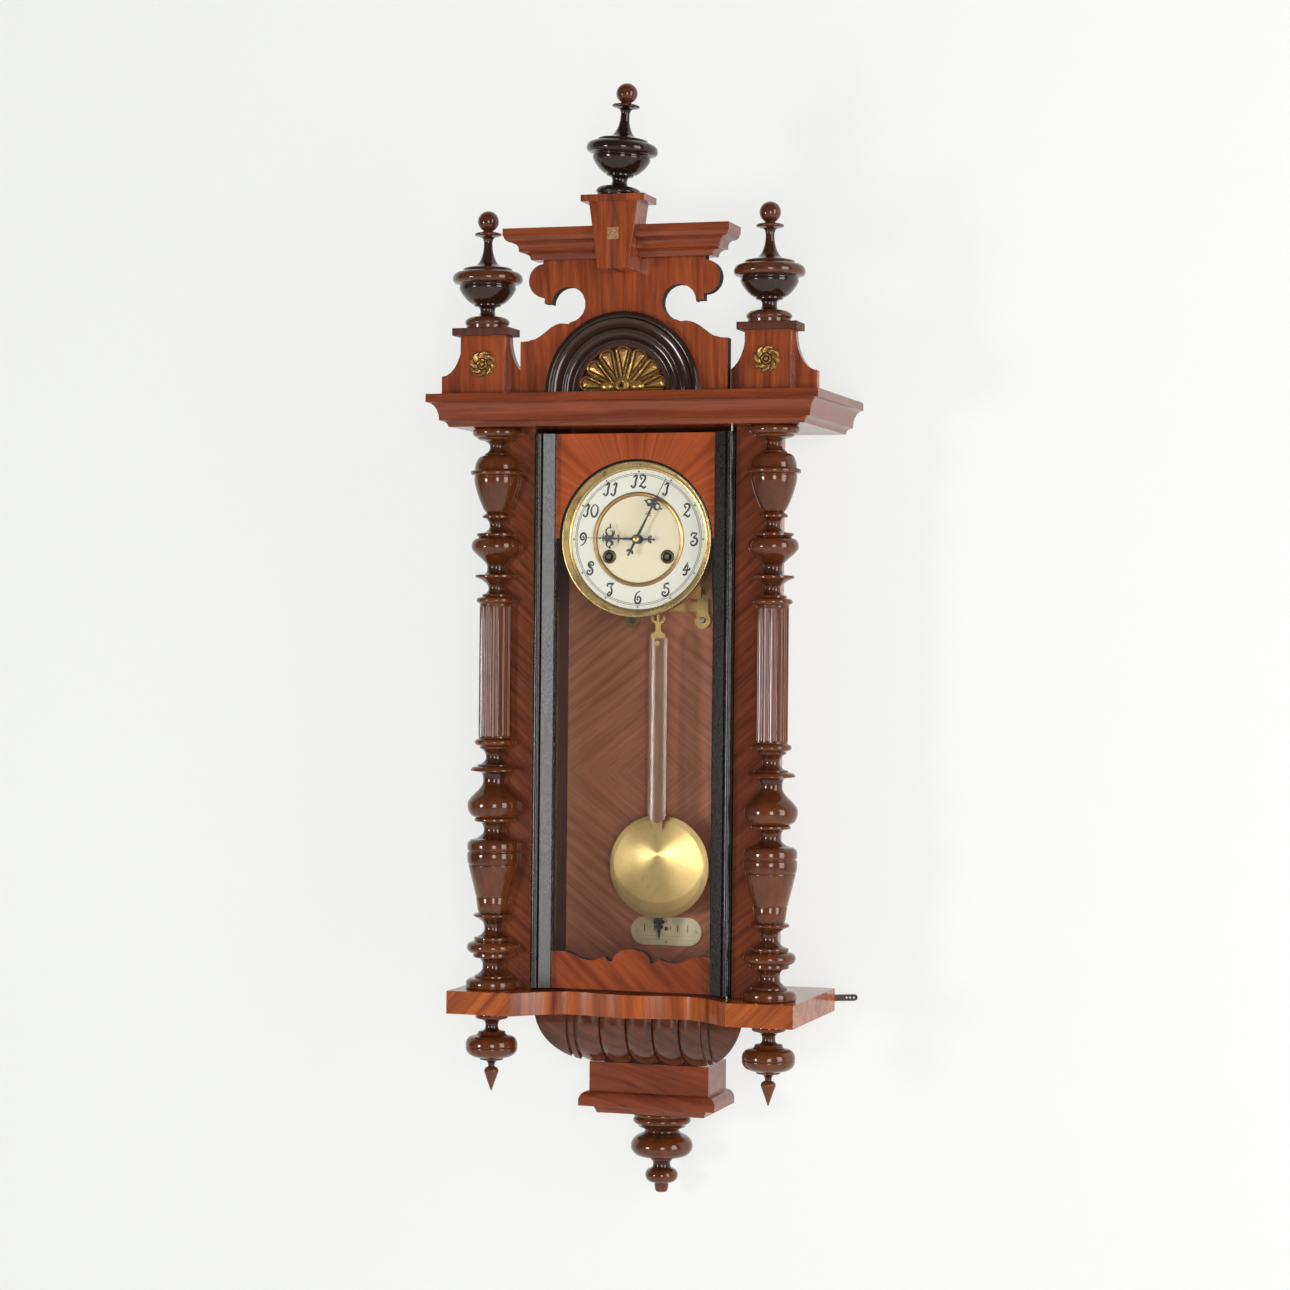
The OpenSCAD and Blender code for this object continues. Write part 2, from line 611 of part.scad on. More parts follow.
module console() {
    w = 2 * field_half / gadroons;
    color("saddlebrown") intersection() {
        console_saw();
        mirror([1, 0, 0]) console_saw();
        union() {
            difference() {
                union() {
                    translate([-130, -console_mid, console_low])
                        cube([260, console_mid, base_low - console_low]);
                    bulge(0, strip(260, 0, console_r));
                }
                for (s = [-1, 1], g = groove_at) bulge(s * g, strip(3, console_r - 3, console_r + 4));
                bulge(0, strip(2 * gadroon_half, console_r - 6.5, console_r + 4));
            }
            intersection() {
                for (i = [0:gadroons - 1]) bulge(-field_half + w * (i + 0.5), concat([[30, -w / 2]],
                    [for (k = [0:8]) [console_r - 6 + 6 * sin(k * 22.5), -w / 2 * cos(k * 22.5)]],
                    [[30, w / 2]]));
                translate([-gadroon_half, -140, console_low]) cube([2 * gadroon_half, 140, 60]);
            }
        }
    }
}

// Plinth block with an ovolo and a set-back fillet under it
module plinth() {
    z = plinth_low;
    color("saddlebrown") union() {
        translate([-plinth_half, -plinth_out, z]) cube([2 * plinth_half, plinth_out, console_low - z]);
        mitred(plinth_half - 6, plinth_out - 6, 0, concat([[6, z]],
            [for (i = [0:6]) [6.4 + 8.6 * sin(i * 15), z - 9 * (1 - cos(i * 15))]],
            [[15, z - 14.4], [2.4, z - 16.4], [0.4, foot_low + 2], [0, foot_low]]));
    }
}

module pendant() {
    color("saddlebrown") difference() {
        translate([pendant_shift, -pendant_out, foot_low]) turned(pendant_outline(), pendant_long / 82);
        // back planed flush with the wall
        translate([-60, 0, foot_low - pendant_long - 1]) cube([120, 40, pendant_long + 2]);
    }
}

// Half outline of the fretted crest board, from the foot of the centre line outwards and up
function crest_half() = let (z = cornice_top, cx = 56.5, cz = z + 86.6, cr = 17.4) concat(
    [[0, z], [106.1, z], [106.1, z + 51], [98, z + 51.4]],
    [for (i = [0:6]) let (u = i / 6) [96 - 32 * u, z + 52.4 + 16 * (1 - cos(180 * u)) / 2]],
    [[56.4, z + 67.6]],
    [for (i = [0:14]) let (a = 263 - 263 * i / 14) [cx + cr * cos(a), cz + cr * sin(a)]],
    [[74, z + 87.8], [81.4, z + 87.8], [81.4, z + 94]],
    [for (i = [0:10]) let (a = -85 + 170 * i / 10)
        [lobe_mid[0] + 16 * cos(a), z + lobe_mid[1] + 16.6 * sin(a)]],
    [[83.2, z + lobe_mid[1] + 17.4], [83.2, crest_top], [0, crest_top]]);

module crest_board() {
    h = crest_half();
    color("chocolate") union() {
        translate([0, -crest_back, 0]) rotate([90, 0, 0]) linear_extrude(height = crest_thick)
            difference() {
                union() {
                    polygon(h);
                    mirror([1, 0]) polygon(h);
                }
                translate([0, cornice_top]) circle(r = field_r - 4, $fn = 72);
            }
        // floor of the recess behind the shell
        translate([0, -crest_back, cornice_top]) rotate([90, 0, 0]) linear_extrude(height = crest_thick - 5)
            intersection() {
                circle(r = field_r - 3.9, $fn = 72);
                translate([-60, 0]) square([120, 60]);
            }
    }
}

// Stepped half-round moulding that frames the shell
module arch_moulding() {
    f = field_r;
    o = arch_out_r;
    color([0.1, 0.07, 0.05]) translate([0, -crest_out, cornice_top]) rotate([90, 0, 0])
        rotate_extrude(angle = 180, $fn = 96) polygon(concat([[f, 0], [f, 1.6]],
            swell([f + 0.6, 1.8], [f + 5.4, 2.6], -1.6, 5), [[f + 6, 1.6], [f + 7.4, 1.6], [f + 7.8, 3.4]],
            swell([f + 8.6, 3.6], [f + 13.6, 4.4], -1.4, 5), [[f + 14.2, 3.2], [f + 15.6, 3.2], [f + 16, 5]],
            swell([o - 13.6, 5], [o - 6.4, 5.6], -1.6, 5), [[o - 5.8, 4], [o - 4.8, 4]],
            swell([o - 4.4, 4.4], [o - 0.4, 4.4], -2, 5), [[o, 3.6], [o, 0]]));
}

// Leaf shape from a point at a to a round end of radius w about b
module leaf(a, b, w) {
    t = 180 - acos(w / (b - a));
    polygon(concat([[a, 0]], [for (i = [0:12]) let (q = t - t * i / 6) [b + w * cos(q), w * sin(q)]]));
}

// Carved shell: hollow leaves with a rib, fanned round a knob
module shell_ornament() {
    n = shell_lobes;
    step = 182 / n;
    color("goldenrod") translate([0, -crest_out + 5, cornice_top]) rotate([90, 0, 0]) intersection() {
        union() {
            cylinder(r = field_r - 12, h = 1.8);
            for (i = [0:n - 1]) translate([0, 3, 0]) rotate([0, 0, 90 + step * (i - (n - 1) / 2)]) {
                difference() {
                    linear_extrude(height = 5.4) leaf(7, 33.2, 8.1);
                    translate([0, 0, 2.4]) linear_extrude(height = 4) leaf(13.4, 33.2, 6.4);
                }
                translate([0, 0, 1.2]) linear_extrude(height = 3.2) leaf(11, 32.4, 3.9);
            }
            translate([0, 6.4, 0]) difference() {
                cylinder(r1 = 8.6, r2 = 6.6, h = 9);
                translate([0, 0, 7]) cylinder(r = 3, h = 4);
            }
            for (s = [-1, 1]) translate([s * 14.6, 5.2, 0]) cylinder(r1 = 6.2, r2 = 3.6, h = 8.4);
        }
        translate([-60, 0.02, -1]) cube([120, 60, 20]);
    }
}

function wing_half() = let (z = cornice_top) concat([[0, z], [46.6, z], [46.6, z + 19]],
    flare([46.6, z + 19], [25, cap_z], 7),
    [[0, cap_z]]);

// Pedestal block with a concave wing board behind it
module pedestals() {
    color("sienna") for (s = [-1, 1]) union() {
        translate([s * pedestal_x - pedestal_wide / 2, -crest_out, cornice_top])
            cube([pedestal_wide, pedestal_deep, cap_z - cornice_top]);
        translate([s * pedestal_x, -crest_out + pedestal_deep, 0]) mirror([s > 0 ? 0 : 1, 0, 0])
            rotate([90, 0, 0]) linear_extrude(height = wing_thick) {
                polygon(wing_half());
                mirror([1, 0]) intersection() {
                    polygon(wing_half());
                    square([pedestal_x - 106.6, 400]);
                }
            }
        translate([s * pedestal_x - 30, -finial_out - cap_deep / 2, cap_z]) cube([60, cap_deep, cap_thick]);
    }
}

module rosettes() {
    color("goldenrod") for (s = [-1, 1]) translate([s * (pedestal_x - 0.8), -crest_out, cornice_top + 29.6])
        rotate([90, 0, 0]) union() {
            cylinder(r = 10.4, h = 1.6);
            for (i = [0:7]) rotate([0, 0, i * 45]) {
                translate([9.4, 0, 0]) cylinder(r1 = 4, r2 = 3, h = 3.2, $fn = 16);
                rotate([0, 0, 22.5]) translate([5.6, 0, 0]) cylinder(r1 = 3, r2 = 2, h = 4.2, $fn = 16);
            }
            cylinder(r1 = 3.4, r2 = 2.2, h = 5.4, $fn = 20);
        }
}

module side_finials() {
    color("saddlebrown") for (s = [-1, 1]) translate([s * (pedestal_x - 1.4), -finial_out, pedestal_top])
        finial(finial_foot, side_finial_high);
}

module centre_finial() {
    color("saddlebrown") difference() {
        translate([-0.4, -key_cap_mid, key_top + key_cap - 1.9]) rotate([0, centre_finial_lean, 0])
            finial(finial_foot - 0.2, centre_finial_high + 1.9);
        translate([-60, -key_cap_mid - 60, key_top + key_cap - 20]) cube([120, 120, 20]);
    }
}

module keystone_form(grow) {
    translate([0, -crest_out, 0]) rotate([90, 0, 0]) linear_extrude(height = key_out - crest_out + grow)
        polygon([[-key_foot_half - grow, key_foot], [key_foot_half + grow, key_foot],
            [key_top_half + grow, key_top], [-key_top_half - grow, key_top]]);
}

module keystone() {
    color("sienna") union() {
        keystone_form(0);
        translate([-key_cap_half, -key_cap_mid - key_cap_deep / 2, key_top])
            cube([2 * key_cap_half, key_cap_deep, key_cap]);
    }
}

module crest_cornice() {
    color("sienna") difference() {
        mitred(top_half, top_out, crest_back, top_section());
        keystone_form(0.02);
    }
}

module hanger_plate() {
    color("goldenrod") difference() {
        translate([-20, -2, 66]) cube([40, 2, 34]);
        translate([0, 1, 80]) rotate([90, 0, 0]) cylinder(r = 5, h = 4);
        translate([-2.4, -3, 80]) cube([4.8, 4, 12]);
        for (s = [-1, 1]) translate([s * 15, 1, 70]) rotate([90, 0, 0]) cylinder(r = 3.3, h = 4);
    }
}

// One round-headed wood screw pointing along +Y
module screw(long) {
    rotate([-90, 0, 0]) {
        cylinder(r = screw_r, h = long);
        translate([0, 0, -2]) difference() {
            cylinder(r1 = 2.4, r2 = 3.2, h = 2);
            translate([-4, -0.4, -1]) cube([8, 0.8, 1.8]);
        }
    }
}

module wood_screws() {
    color("goldenrod") {
        for (s = [-1, 1], z = [ear_z, 60]) translate([s * ear_x, -back_thick - 3, z]) screw(13);
        translate([strap_x, -2.4, base_low + 12]) mirror([0, 1, 0]) screw(12.6);
        for (s = [-1, 1]) translate([s * 15, -2, 70]) mirror([0, 1, 0]) screw(8.6);
    }
}

module steady_strap() {
    color("dimgray") translate([strap_x, -2.4, base_low + 12]) rotate([0, -3, 0]) rotate([90, 0, 0])
        linear_extrude(height = 2) difference() {
            union() {
                translate([-29, -3.2]) square([69, 6.4]);
                translate([40, 0]) circle(r = 3.2);
                translate([-29, 0]) circle(r = 3.2);
            }
            circle(r = screw_r + run_gap);
            for (x = [32, 35.6, 39.6]) translate([x, 0]) circle(r = 1.1);
        }
}

// Brass frame that carries the movement in front of the backboard
module movement_bracket() {
    color("goldenrod") translate([0, -back_thick, 0]) difference() {
        union() {
            rotate([90, 0, 0]) linear_extrude(height = 3) difference() {
                union() {
                    for (s = [-1, 1]) {
                        translate([s * ear_x - 6, ear_z]) square([12, 60 - ear_z]);
                        translate([s * ear_x, ear_z]) circle(r = 8.4);
                        translate([s * ear_x, 60]) circle(r = 8);
                    }
                    translate([-ear_x, 52]) square([2 * ear_x, 8]);
                    translate([-ear_x, -70]) square([2 * ear_x, 9]);
                }
                for (s = [-1, 1], z = [ear_z, 60]) translate([s * ear_x, z]) circle(r = screw_r + run_gap);
            }
            for (s = [-1, 1], z = [-52, 40]) translate([s * ear_x - 3, -(rear_plate_out - back_thick), z])
                cube([6, rear_plate_out - back_thick - 2, 8]);
        }
    }
}

module plate_blank(holes) {
    rotate([90, 0, 0]) linear_extrude(height = plate_thick) difference() {
        translate([-plate_half, -58]) square([2 * plate_half, 110]);
        for (h = holes) translate(h[0]) circle(r = h[1], $fn = 32);
    }
}

function arbors() = [[going_at, 3 + run_gap], [strike_at, 3 + run_gap], [second_pos, arbor_r + run_gap],
    [third_at, arbor_r + run_gap], [escape_at, arbor_r + run_gap], [anchor_at, arbor_r + run_gap],
    [pin_at, arbor_r + run_gap], [fly_at, arbor_r + run_gap], [hammer_at, arbor_r + run_gap]];

// Rear plate with its pillars and the cock that carries the suspension
module back_plate() {
    color("goldenrod") union() {
        translate([0, -rear_plate_out, 0]) plate_blank(concat(arbors(), [[centre_at, 1.5 + run_gap]]));
        for (x = [-1, 1], z = [-51, 44]) translate([x * 51, -plate_in, z]) rotate([90, 0, 0]) {
            cylinder(r = 3, h = plate_gap);
            for (q = [0, plate_gap - 4]) translate([0, 0, q]) cylinder(r = 4, h = 4);
        }
        translate([-9, -rear_plate_out, anchor_z + 7]) cube([18, 11.4, 5]);
        for (s = [-1, 1]) translate([s * 7 - 2, -rear_plate_out, anchor_z + 2.2]) cube([4, 3, 5]);
    }
}

// Front plate with the stud of the minute wheel
module front_plate() {
    color("goldenrod") union() {
        translate([0, -front_plate_out, 0]) plate_blank(concat(arbors(), [[centre_at, 2 + run_gap]]));
        at(minute_at) arbor(dial_seat, 9, arbor_r);
    }
}

// Spur wheel with n thin teeth of module m
module teeth(n, m, thin = 0.3, deep = 0.62) {
    r = n * m / 2;
    at = [-thin * 0.62, -thin * 0.32, thin * 0.32, thin * 0.62];
    polygon([for (i = [0:n - 1]) for (k = [0:3]) let (a = 360 / n * (i + at[k]))
        (r + m * (k == 0 || k == 3 ? -deep - 0.5 : deep)) * [cos(a), sin(a)]]);
}

// Wheel lying in the XZ plane, its back face at out, turned by phase
module wheel(n, m, out, thick, phase, spokes = 5, hub = 3, bore = 0) {
    r = n * m / 2;
    translate([0, -out, 0]) rotate([90, 0, 0]) linear_extrude(height = thick) difference() {
        rotate(phase) teeth(n, m);
        if (spokes > 0) difference() {
            circle(r = r - m * 1.3 - 2);
            circle(r = hub + 1);
            for (i = [0:spokes - 1]) rotate(i * 360 / spokes) translate([0, -1.2]) square([r, 2.4]);
        }
        if (bore > 0) circle(r = bore);
    }
}

module pinion(n, m, out, long, phase) {
    translate([0, -out, 0]) rotate([90, 0, 0]) linear_extrude(height = long) rotate(phase)
        teeth(n, m, 0.26, 0.62);
}

module arbor(out, long, r = arbor_r) {
    translate([0, -out, 0]) rotate([90, 0, 0]) cylinder(r = r, h = long, $fn = 24);
}

module at(p) { translate([p[0], 0, p[1]]) children(); }

module barrel_form(pos, other) {
    at(pos) {
        difference() {
            union() {
                arbor(drum_layer, drum_deep, barrel_r);
                wheel(great_teeth, great_mod, great_layer, great_thick, bearing(pos, other), 0);
            }
            arbor(drum_layer - 1, drum_deep + great_thick + 2, 3 + run_gap);
        }
    }
}

module going_barrel() { color("goldenrod") barrel_form(going_at, second_pos); }
module strike_barrel() { color("goldenrod") barrel_form(strike_at, pin_at); }

// Winding arbor with a squared end seen through the dial
module winding_arbor(p) {
    color("silver") at(p) union() {
        arbor(rear_plate_out, front_plate_out - rear_plate_out + plate_thick + 0.6, 3);
        translate([-2.1, -enamel_out - 1.6, -2.1]) cube([4.2, enamel_out + 1.6 - dial_seat, 4.2]);
    }
}

module winding_arbor_right() { winding_arbor(going_at); }
module winding_arbor_left() { winding_arbor(strike_at); }

module second_wheel() {
    color("goldenrod") at(second_pos) union() {
        arbor(rear_plate_out, full_arbor);
        wheel(second_teeth, second_mod, second_layer, 2, bearing(second_pos, centre_at));
        pinion(second_leaves, great_mod, great_layer - 1, great_thick + 2,
            bearing(second_pos, going_at) + 180 / second_leaves);
        arbor(great_layer - 1, second_layer - great_layer + 4, 2.2);
    }
}

module centre_wheel() {
    color("goldenrod") union() {
        arbor(rear_plate_out, plate_in - rear_plate_out + 1, 1.5);
        arbor(plate_in, second_layer - plate_in + 1, 1.5);
        arbor(second_layer, enamel_out + 9.4 - second_layer, 2);
        pinion(cannon_teeth, cannon_mod, dial_seat + 1, 3.6,
            bearing(centre_at, minute_at) + 180 / cannon_teeth);
        wheel(centre_teeth, centre_mod, centre_layer, 2.4, bearing(centre_at, third_at));
        pinion(centre_leaves, second_mod, second_layer - 1, 4,
            bearing(centre_at, second_pos) + 180 / centre_leaves);
    }
}

module third_wheel() {
    color("goldenrod") at(third_at) union() {
        arbor(rear_plate_out, full_arbor);
        wheel(third_teeth, third_mod, third_layer, 2, bearing(third_at, escape_at), 5, 2);
        pinion(third_leaves, centre_mod, centre_layer - 0.6, 4.2,
            bearing(third_at, centre_at) + 180 / third_leaves);
    }
}

module escape_wheel() {
    n = escape_teeth;
    color("goldenrod") at(escape_at) union() {
        arbor(rear_plate_out, full_arbor);
        pinion(escape_leaves, third_mod, third_layer - 0.8, 4,
            bearing(escape_at, third_at) + 180 / escape_leaves);
        translate([0, -escape_layer, 0]) rotate([90, 0, 0]) linear_extrude(height = 1.8) difference() {
            polygon([for (i = [0:n - 1]) for (k = [0:2]) let (a = 360 / n * (i + [0, 0.12, 0.34][k]))
                (k == 0 ? escape_r : k == 1 ? escape_r - 0.3 : escape_r - 2.6) * [cos(a), sin(a)]]);
            difference() {
                circle(r = escape_r - 4.4);
                circle(r = 3);
                for (i = [0:3]) rotate(i * 90) translate([0, -0.8]) square([escape_r, 1.6]);
            }
        }
    }
}

// Anchor with two pallets that stand just outside the wheel
module anchor() {
    color("silver") at(anchor_at) union() {
        arbor(rear_plate_out - 3.4, full_arbor + 3.4);
        translate([0, -escape_layer + 0.6, 0]) rotate([90, 0, 0]) linear_extrude(height = 3) union() {
            circle(r = 3.4);
            for (s = [-1, 1]) polygon([[0, 2.6], [s * 10.6, -2.2], [s * 11.6, -7.2], [s * 10.4, -7.2],
                [s * 9.4, -4], [0, -2.2]]);
        }
    }
}

// Crutch behind the rear plate with a fork round the pendulum hook
module crutch() {
    color("silver") at(anchor_at) rotate([0, swing, 0]) difference() {
        union() {
            arbor(rear_plate_out - 3.4, 2.6, 3);
            translate([-1.3, -rear_plate_out + 0.8, -42]) cube([2.6, 1.8, 42]);
            translate([-3.6, -rear_plate_out + 0.8, -48]) cube([7.2, 11.6, 6]);
        }
        translate([-1.9, -rear_plate_out + 4.4, -49]) cube([3.8, 20, 8]);
        arbor(rear_plate_out - 4.4, 5, arbor_r);
    }
}

module pin_wheel() {
    color("goldenrod") at(pin_at) union() {
        arbor(rear_plate_out, full_arbor);
        wheel(pin_teeth, pin_mod, second_layer, 2, bearing(pin_at, fly_at), 4);
        pinion(second_leaves, great_mod, great_layer - 1, great_thick + 2,
            bearing(pin_at, strike_at) + 180 / second_leaves);
        for (i = [0:7]) rotate([0, i * 45, 0]) translate([13.4, -second_layer - 1, 0]) rotate([90, 0, 0])
            cylinder(r = 0.6, h = 3, $fn = 12);
    }
}

module fly() {
    color("goldenrod") at(fly_at) union() {
        arbor(rear_plate_out, full_arbor);
        pinion(fly_teeth, pin_mod, second_layer - 1, 4, bearing(fly_at, pin_at) + 180 / fly_teeth);
        translate([-9, -escape_layer - 14, -0.6]) cube([18, 14, 1.2]);
        arbor(escape_layer - 1, 16, 2);
    }
}

// Hammer on its arbor; the head stands clear of the gong
module hammer() {
    color("goldenrod") at(hammer_at) union() {
        arbor(rear_plate_out - 5, full_arbor + 5);
        translate([0, -rear_plate_out + 5, 0]) rotate([90, 0, 0]) cylinder(r = 3, h = 3);
        translate([0, -rear_plate_out + 4.6, 0]) rotate([0, 8, 0]) translate([-1.4, -2.2, -42])
            cube([2.8, 2.2, 42]);
        translate([-5.8, -26, -42]) rotate([90, 0, 0]) cylinder(r = 1.6, h = rear_plate_out - 4.6 - 26 + 2);
        translate([-11, -27.4, -42]) rotate([0, 90, 0]) cylinder(r = 5, h = 10);
    }
}

// Spiral gong: one unbroken tube that rises from its stand and bends into the coil
module gong_coil() {
    per = 24;
    n = gong_turns * per;
    pitch = (gong_big - gong_in) / gong_turns;
    bend = 4;
    y0 = -gong_out;
    // centre line: straight foot, quarter bend, spiral, straight end
    path = concat([for (d = [gong_foot, (gong_foot + gong_out - bend) / 2]) [gong_in, -d, -bend]],
        [for (i = [0:5]) [gong_in, y0 + bend - bend * sin(18 * i), -bend * cos(18 * i)]],
        [for (i = [1:n]) let (a = 360 * i / per, r = gong_in + pitch * i / per)
            [r * cos(a), y0, r * sin(a)]],
        [[gong_big - 0.6, y0, 4]]);
    c = len(path);
    function dir(i) = let (d = i == 0 ? path[1] - path[0] : i == c - 1 ? path[c - 1] - path[c - 2]
        : path[i + 1] - path[i - 1]) d / norm(d);
    function side(i) = i < 7 ? [1, 0, 0] : let (d = dir(i)) [d[2], 0, -d[0]];
    pts = [for (i = [0:c - 1]) for (k = [0:5]) let (u = side(i), w = cross(dir(i), u))
        path[i] + gong_wire * (u * cos(60 * k) + w * sin(60 * k))];
    echo(coil_gap = pitch - 2 * gong_wire);
    color("slategray") translate([0, 0, gong_z]) polyhedron(points = pts, faces = concat(
        [[for (k = [0:5]) k]], [[for (k = [5:-1:0]) (c - 1) * 6 + k]],
        [for (i = [0:c - 2]) for (k = [0:5]) let (a = i * 6 + k, b = i * 6 + (k + 1) % 6)
            [a, a + 6, b + 6, b]]), convexity = 10);
}

// Block on the backboard into whose face the gong is set
module gong_stand() {
    color("dimgray") translate([gong_in, 0, gong_z - 4]) union() {
        translate([-7, -gong_foot, -7]) cube([14, gong_foot - back_thick, 14]);
        translate([-7, -back_thick - 3, -22]) cube([14, 3, 44]);
    }
}

// Drum and wide sloping bezel that carry the dial in front of the movement
module dial_bezel() {
    e = enamel_out - dial_seat;
    color("gold") translate([0, -dial_seat, 0]) rotate([90, 0, 0]) rotate_extrude($fn = 96)
        polygon(concat([[66, 0], [drum_r, 0]], flare([drum_r, e + 1], [bezel_r, e + 5.4], 4),
            tuck([bezel_r, e + 6.4], [bezel_r - 1.4, e + 8.2], 3),
            [[bezel_r - 2.6, e + 8.2], [bezel_r - 3, e + 7], [enamel_r + 2.4, e + 2.2],
             [enamel_r + 2, e + 1.2], [enamel_r + 0.4, e + 1], [enamel_r, e + 0.4], [enamel_r, e - 2],
             [drum_r - 1.4, e - 3.4], [drum_r - 1.4, 1.4], [66, 1.4]]));
}

module chapter_ring() {
    color("ivory") translate([0, -enamel_out + 2, 0]) rotate([90, 0, 0]) rotate_extrude($fn = 96)
        polygon([[trim_r, 0], [enamel_r - 0.1, 0], [enamel_r - 0.1, 1.9], [60, 2.1], [trim_r, 1.8]]);
}

// Raised ring between the enamel and the centre, and the two winding grommets
module dial_trim() {
    o = trim_r - 0.02;
    color("gold") translate([0, -enamel_out + 2, 0]) rotate([90, 0, 0]) rotate_extrude($fn = 96)
        polygon([[centre_r, 0], [o, 0], [o, 1.8], [o - 0.4, 2.6], [o - 1.6, 3], [centre_r + 0.8, 2.6],
            [centre_r, 1.4]]);
    color("gold") for (x = [-1, 1]) translate([x * wind_x, -enamel_out + 2, -wind_drop]) rotate([90, 0, 0])
        rotate_extrude() polygon([[4.4, -1.4], [6, -1.4], [6, 1], [7, 1], [6.8, 2], [5.6, 2.6], [4.4, 2.2]]);
}

// Cream centre on the sheet and feet that hold the whole dial
module dial_centre() {
    color("wheat") difference() {
        union() {
            translate([0, -enamel_out + 2, 0]) rotate([90, 0, 0])
                cylinder(r = centre_r - 0.02, h = 1, $fn = 96);
            translate([0, -enamel_out + 3.4, 0]) rotate([90, 0, 0])
                cylinder(r = enamel_r - 0.1, h = 1.4, $fn = 96);
            for (x = [-1, 1], z = [-40, 34]) translate([x * 44, -dial_seat, z]) rotate([90, 0, 0])
                cylinder(r = 2.6, h = enamel_out - 3 - dial_seat);
        }
        for (p = [going_at, strike_at]) at(p) arbor(enamel_out - 5, 8, 6);
        arbor(enamel_out - 5, 8, 4.6);
    }
}

// Serpentine hand: tapered arm with two open crescents at c, cross bars and a tail
module hand(long, c, wide, tail) {
    union() {
        circle(r = 4.6);
        polygon([[-wide / 2, 0], [wide / 2, 0], [0.7, c - 10], [1.1, c], [0.8, c + 6], [0.3, c + 9],
            [0.22, long], [-0.22, long], [-0.3, c + 9], [-0.8, c + 6], [-1.1, c], [-0.7, c - 10]]);
        for (s = [-1, 1]) {
            translate([s * 4.3, c - s * 0.6]) difference() {
                circle(r = 3.7);
                translate([s * 1, 0.9]) circle(r = 2.5);
            }
            translate([s * 1.6, c + 4.2]) circle(r = 1.5);
        }
        for (y = [c - 9.4, c + 7.4]) polygon([[-3, y], [-0.3, y - 0.9], [0.3, y - 0.9], [3, y],
            [0.3, y + 0.9], [-0.3, y + 0.9]]);
        polygon([[-1.5, 0], [-0.9, 3 - tail], [0, -tail], [0.9, 3 - tail], [1.5, 0]]);
        polygon([[-3.4, 6.2 - tail], [-2.6, 5 - tail], [2.6, 5 - tail], [3.4, 6.2 - tail], [2, 7.4 - tail],
            [-2, 7.4 - tail]]);
    }
}

module minute_hand() {
    color([0.1, 0.1, 0.1]) translate([0, -enamel_out - 6.6, 0]) rotate([0, minute_shown * 6, 0])
        rotate([90, 0, 0]) difference() {
            union() {
                linear_extrude(height = 0.9) hand(minute_long, 38.5, 3.2, 19);
                cylinder(r1 = 4, r2 = 2.8, h = 2.4);
            }
            translate([0, 0, -1]) cylinder(r = 2, h = 8);
        }
}

module hour_hand() {
    color([0.1, 0.1, 0.1]) translate([0, -enamel_out - 4.2, 0]) rotate([0, hour_shown * 30, 0])
        rotate([90, 0, 0]) linear_extrude(height = 0.9) difference() {
            hand(hour_long, 28, 3.6, 19);
            circle(r = 3.4, $fn = 24);
        }
}

// Wheel and pinion on the stud behind the dial
module minute_wheel() {
    color("goldenrod") at(minute_at) union() {
        wheel(minute_teeth, cannon_mod, dial_seat + 1.4, 1.8, bearing(minute_at, centre_at), 0, 3,
            arbor_r + run_gap);
        translate([0, -dial_seat - 3, 0]) rotate([90, 0, 0]) linear_extrude(height = 4.6) difference() {
            rotate(bearing(minute_at, centre_at)) teeth(minute_leaves, hour_mod, 0.26, 0.62);
            circle(r = arbor_r + run_gap);
        }
    }
}

// Pipe and wheel that turn the hour hand
module hour_wheel() {
    color("goldenrod") difference() {
        union() {
            wheel(hour_teeth, hour_mod, dial_seat + 4.9, 1.8,
                bearing(centre_at, minute_at) + 180 / hour_teeth, 0);
            arbor(dial_seat + 4.9, enamel_out + 5.6 - dial_seat - 4.9, 3.4);
        }
        arbor(dial_seat, 60, 2 + run_gap);
    }
}

// Parts of the pendulum, drawn plumb and then swung about the suspension
module hung() { translate([0, -pend_out, anchor_z]) rotate([0, swing, 0]) children(); }

// Right half of the hook, from its tongue up to the prong, measured from the top of the rod
function hook_half() = concat([[0, -8], [5.4, -8], [5.4, 0], [8, 0.4], [8, 1.8]],
    ogee([7.8, 2.2], [2.8, 9.6]), ogee([2.8, 11.4], [7.5, 20.6]), [[7.5, 22], [4.9, 22.4]],
    ogee([4.9, 21], [1.4, 15], 3), [[0, 14.6]]);

module pendulum_hook() {
    h = hook_half();
    color("goldenrod") hung() union() {
        // spring strip, clip and stem
        translate([-3, -0.2, -8]) cube([6, 0.4, 14.5]);
        translate([-4.6, -1.6, -12]) cube([9.2, 3.2, 6]);
        translate([-1.5, -1.5, -rod_top + 12]) cube([3, 3, rod_top - 24]);
        // waisted fork that holds the rod
        translate([0, 1.2, -rod_top]) rotate([90, 0, 0]) linear_extrude(height = 2.4)
            polygon(concat(h, flip([for (p = h) if (p[0] > eps) [-p[0], p[1]]])));
        translate([0, rod_thick / 2 + 0.6, -rod_top - 5]) rotate([90, 0, 0])
            cylinder(r = 2.6, h = rod_thick + 1.2);
    }
}

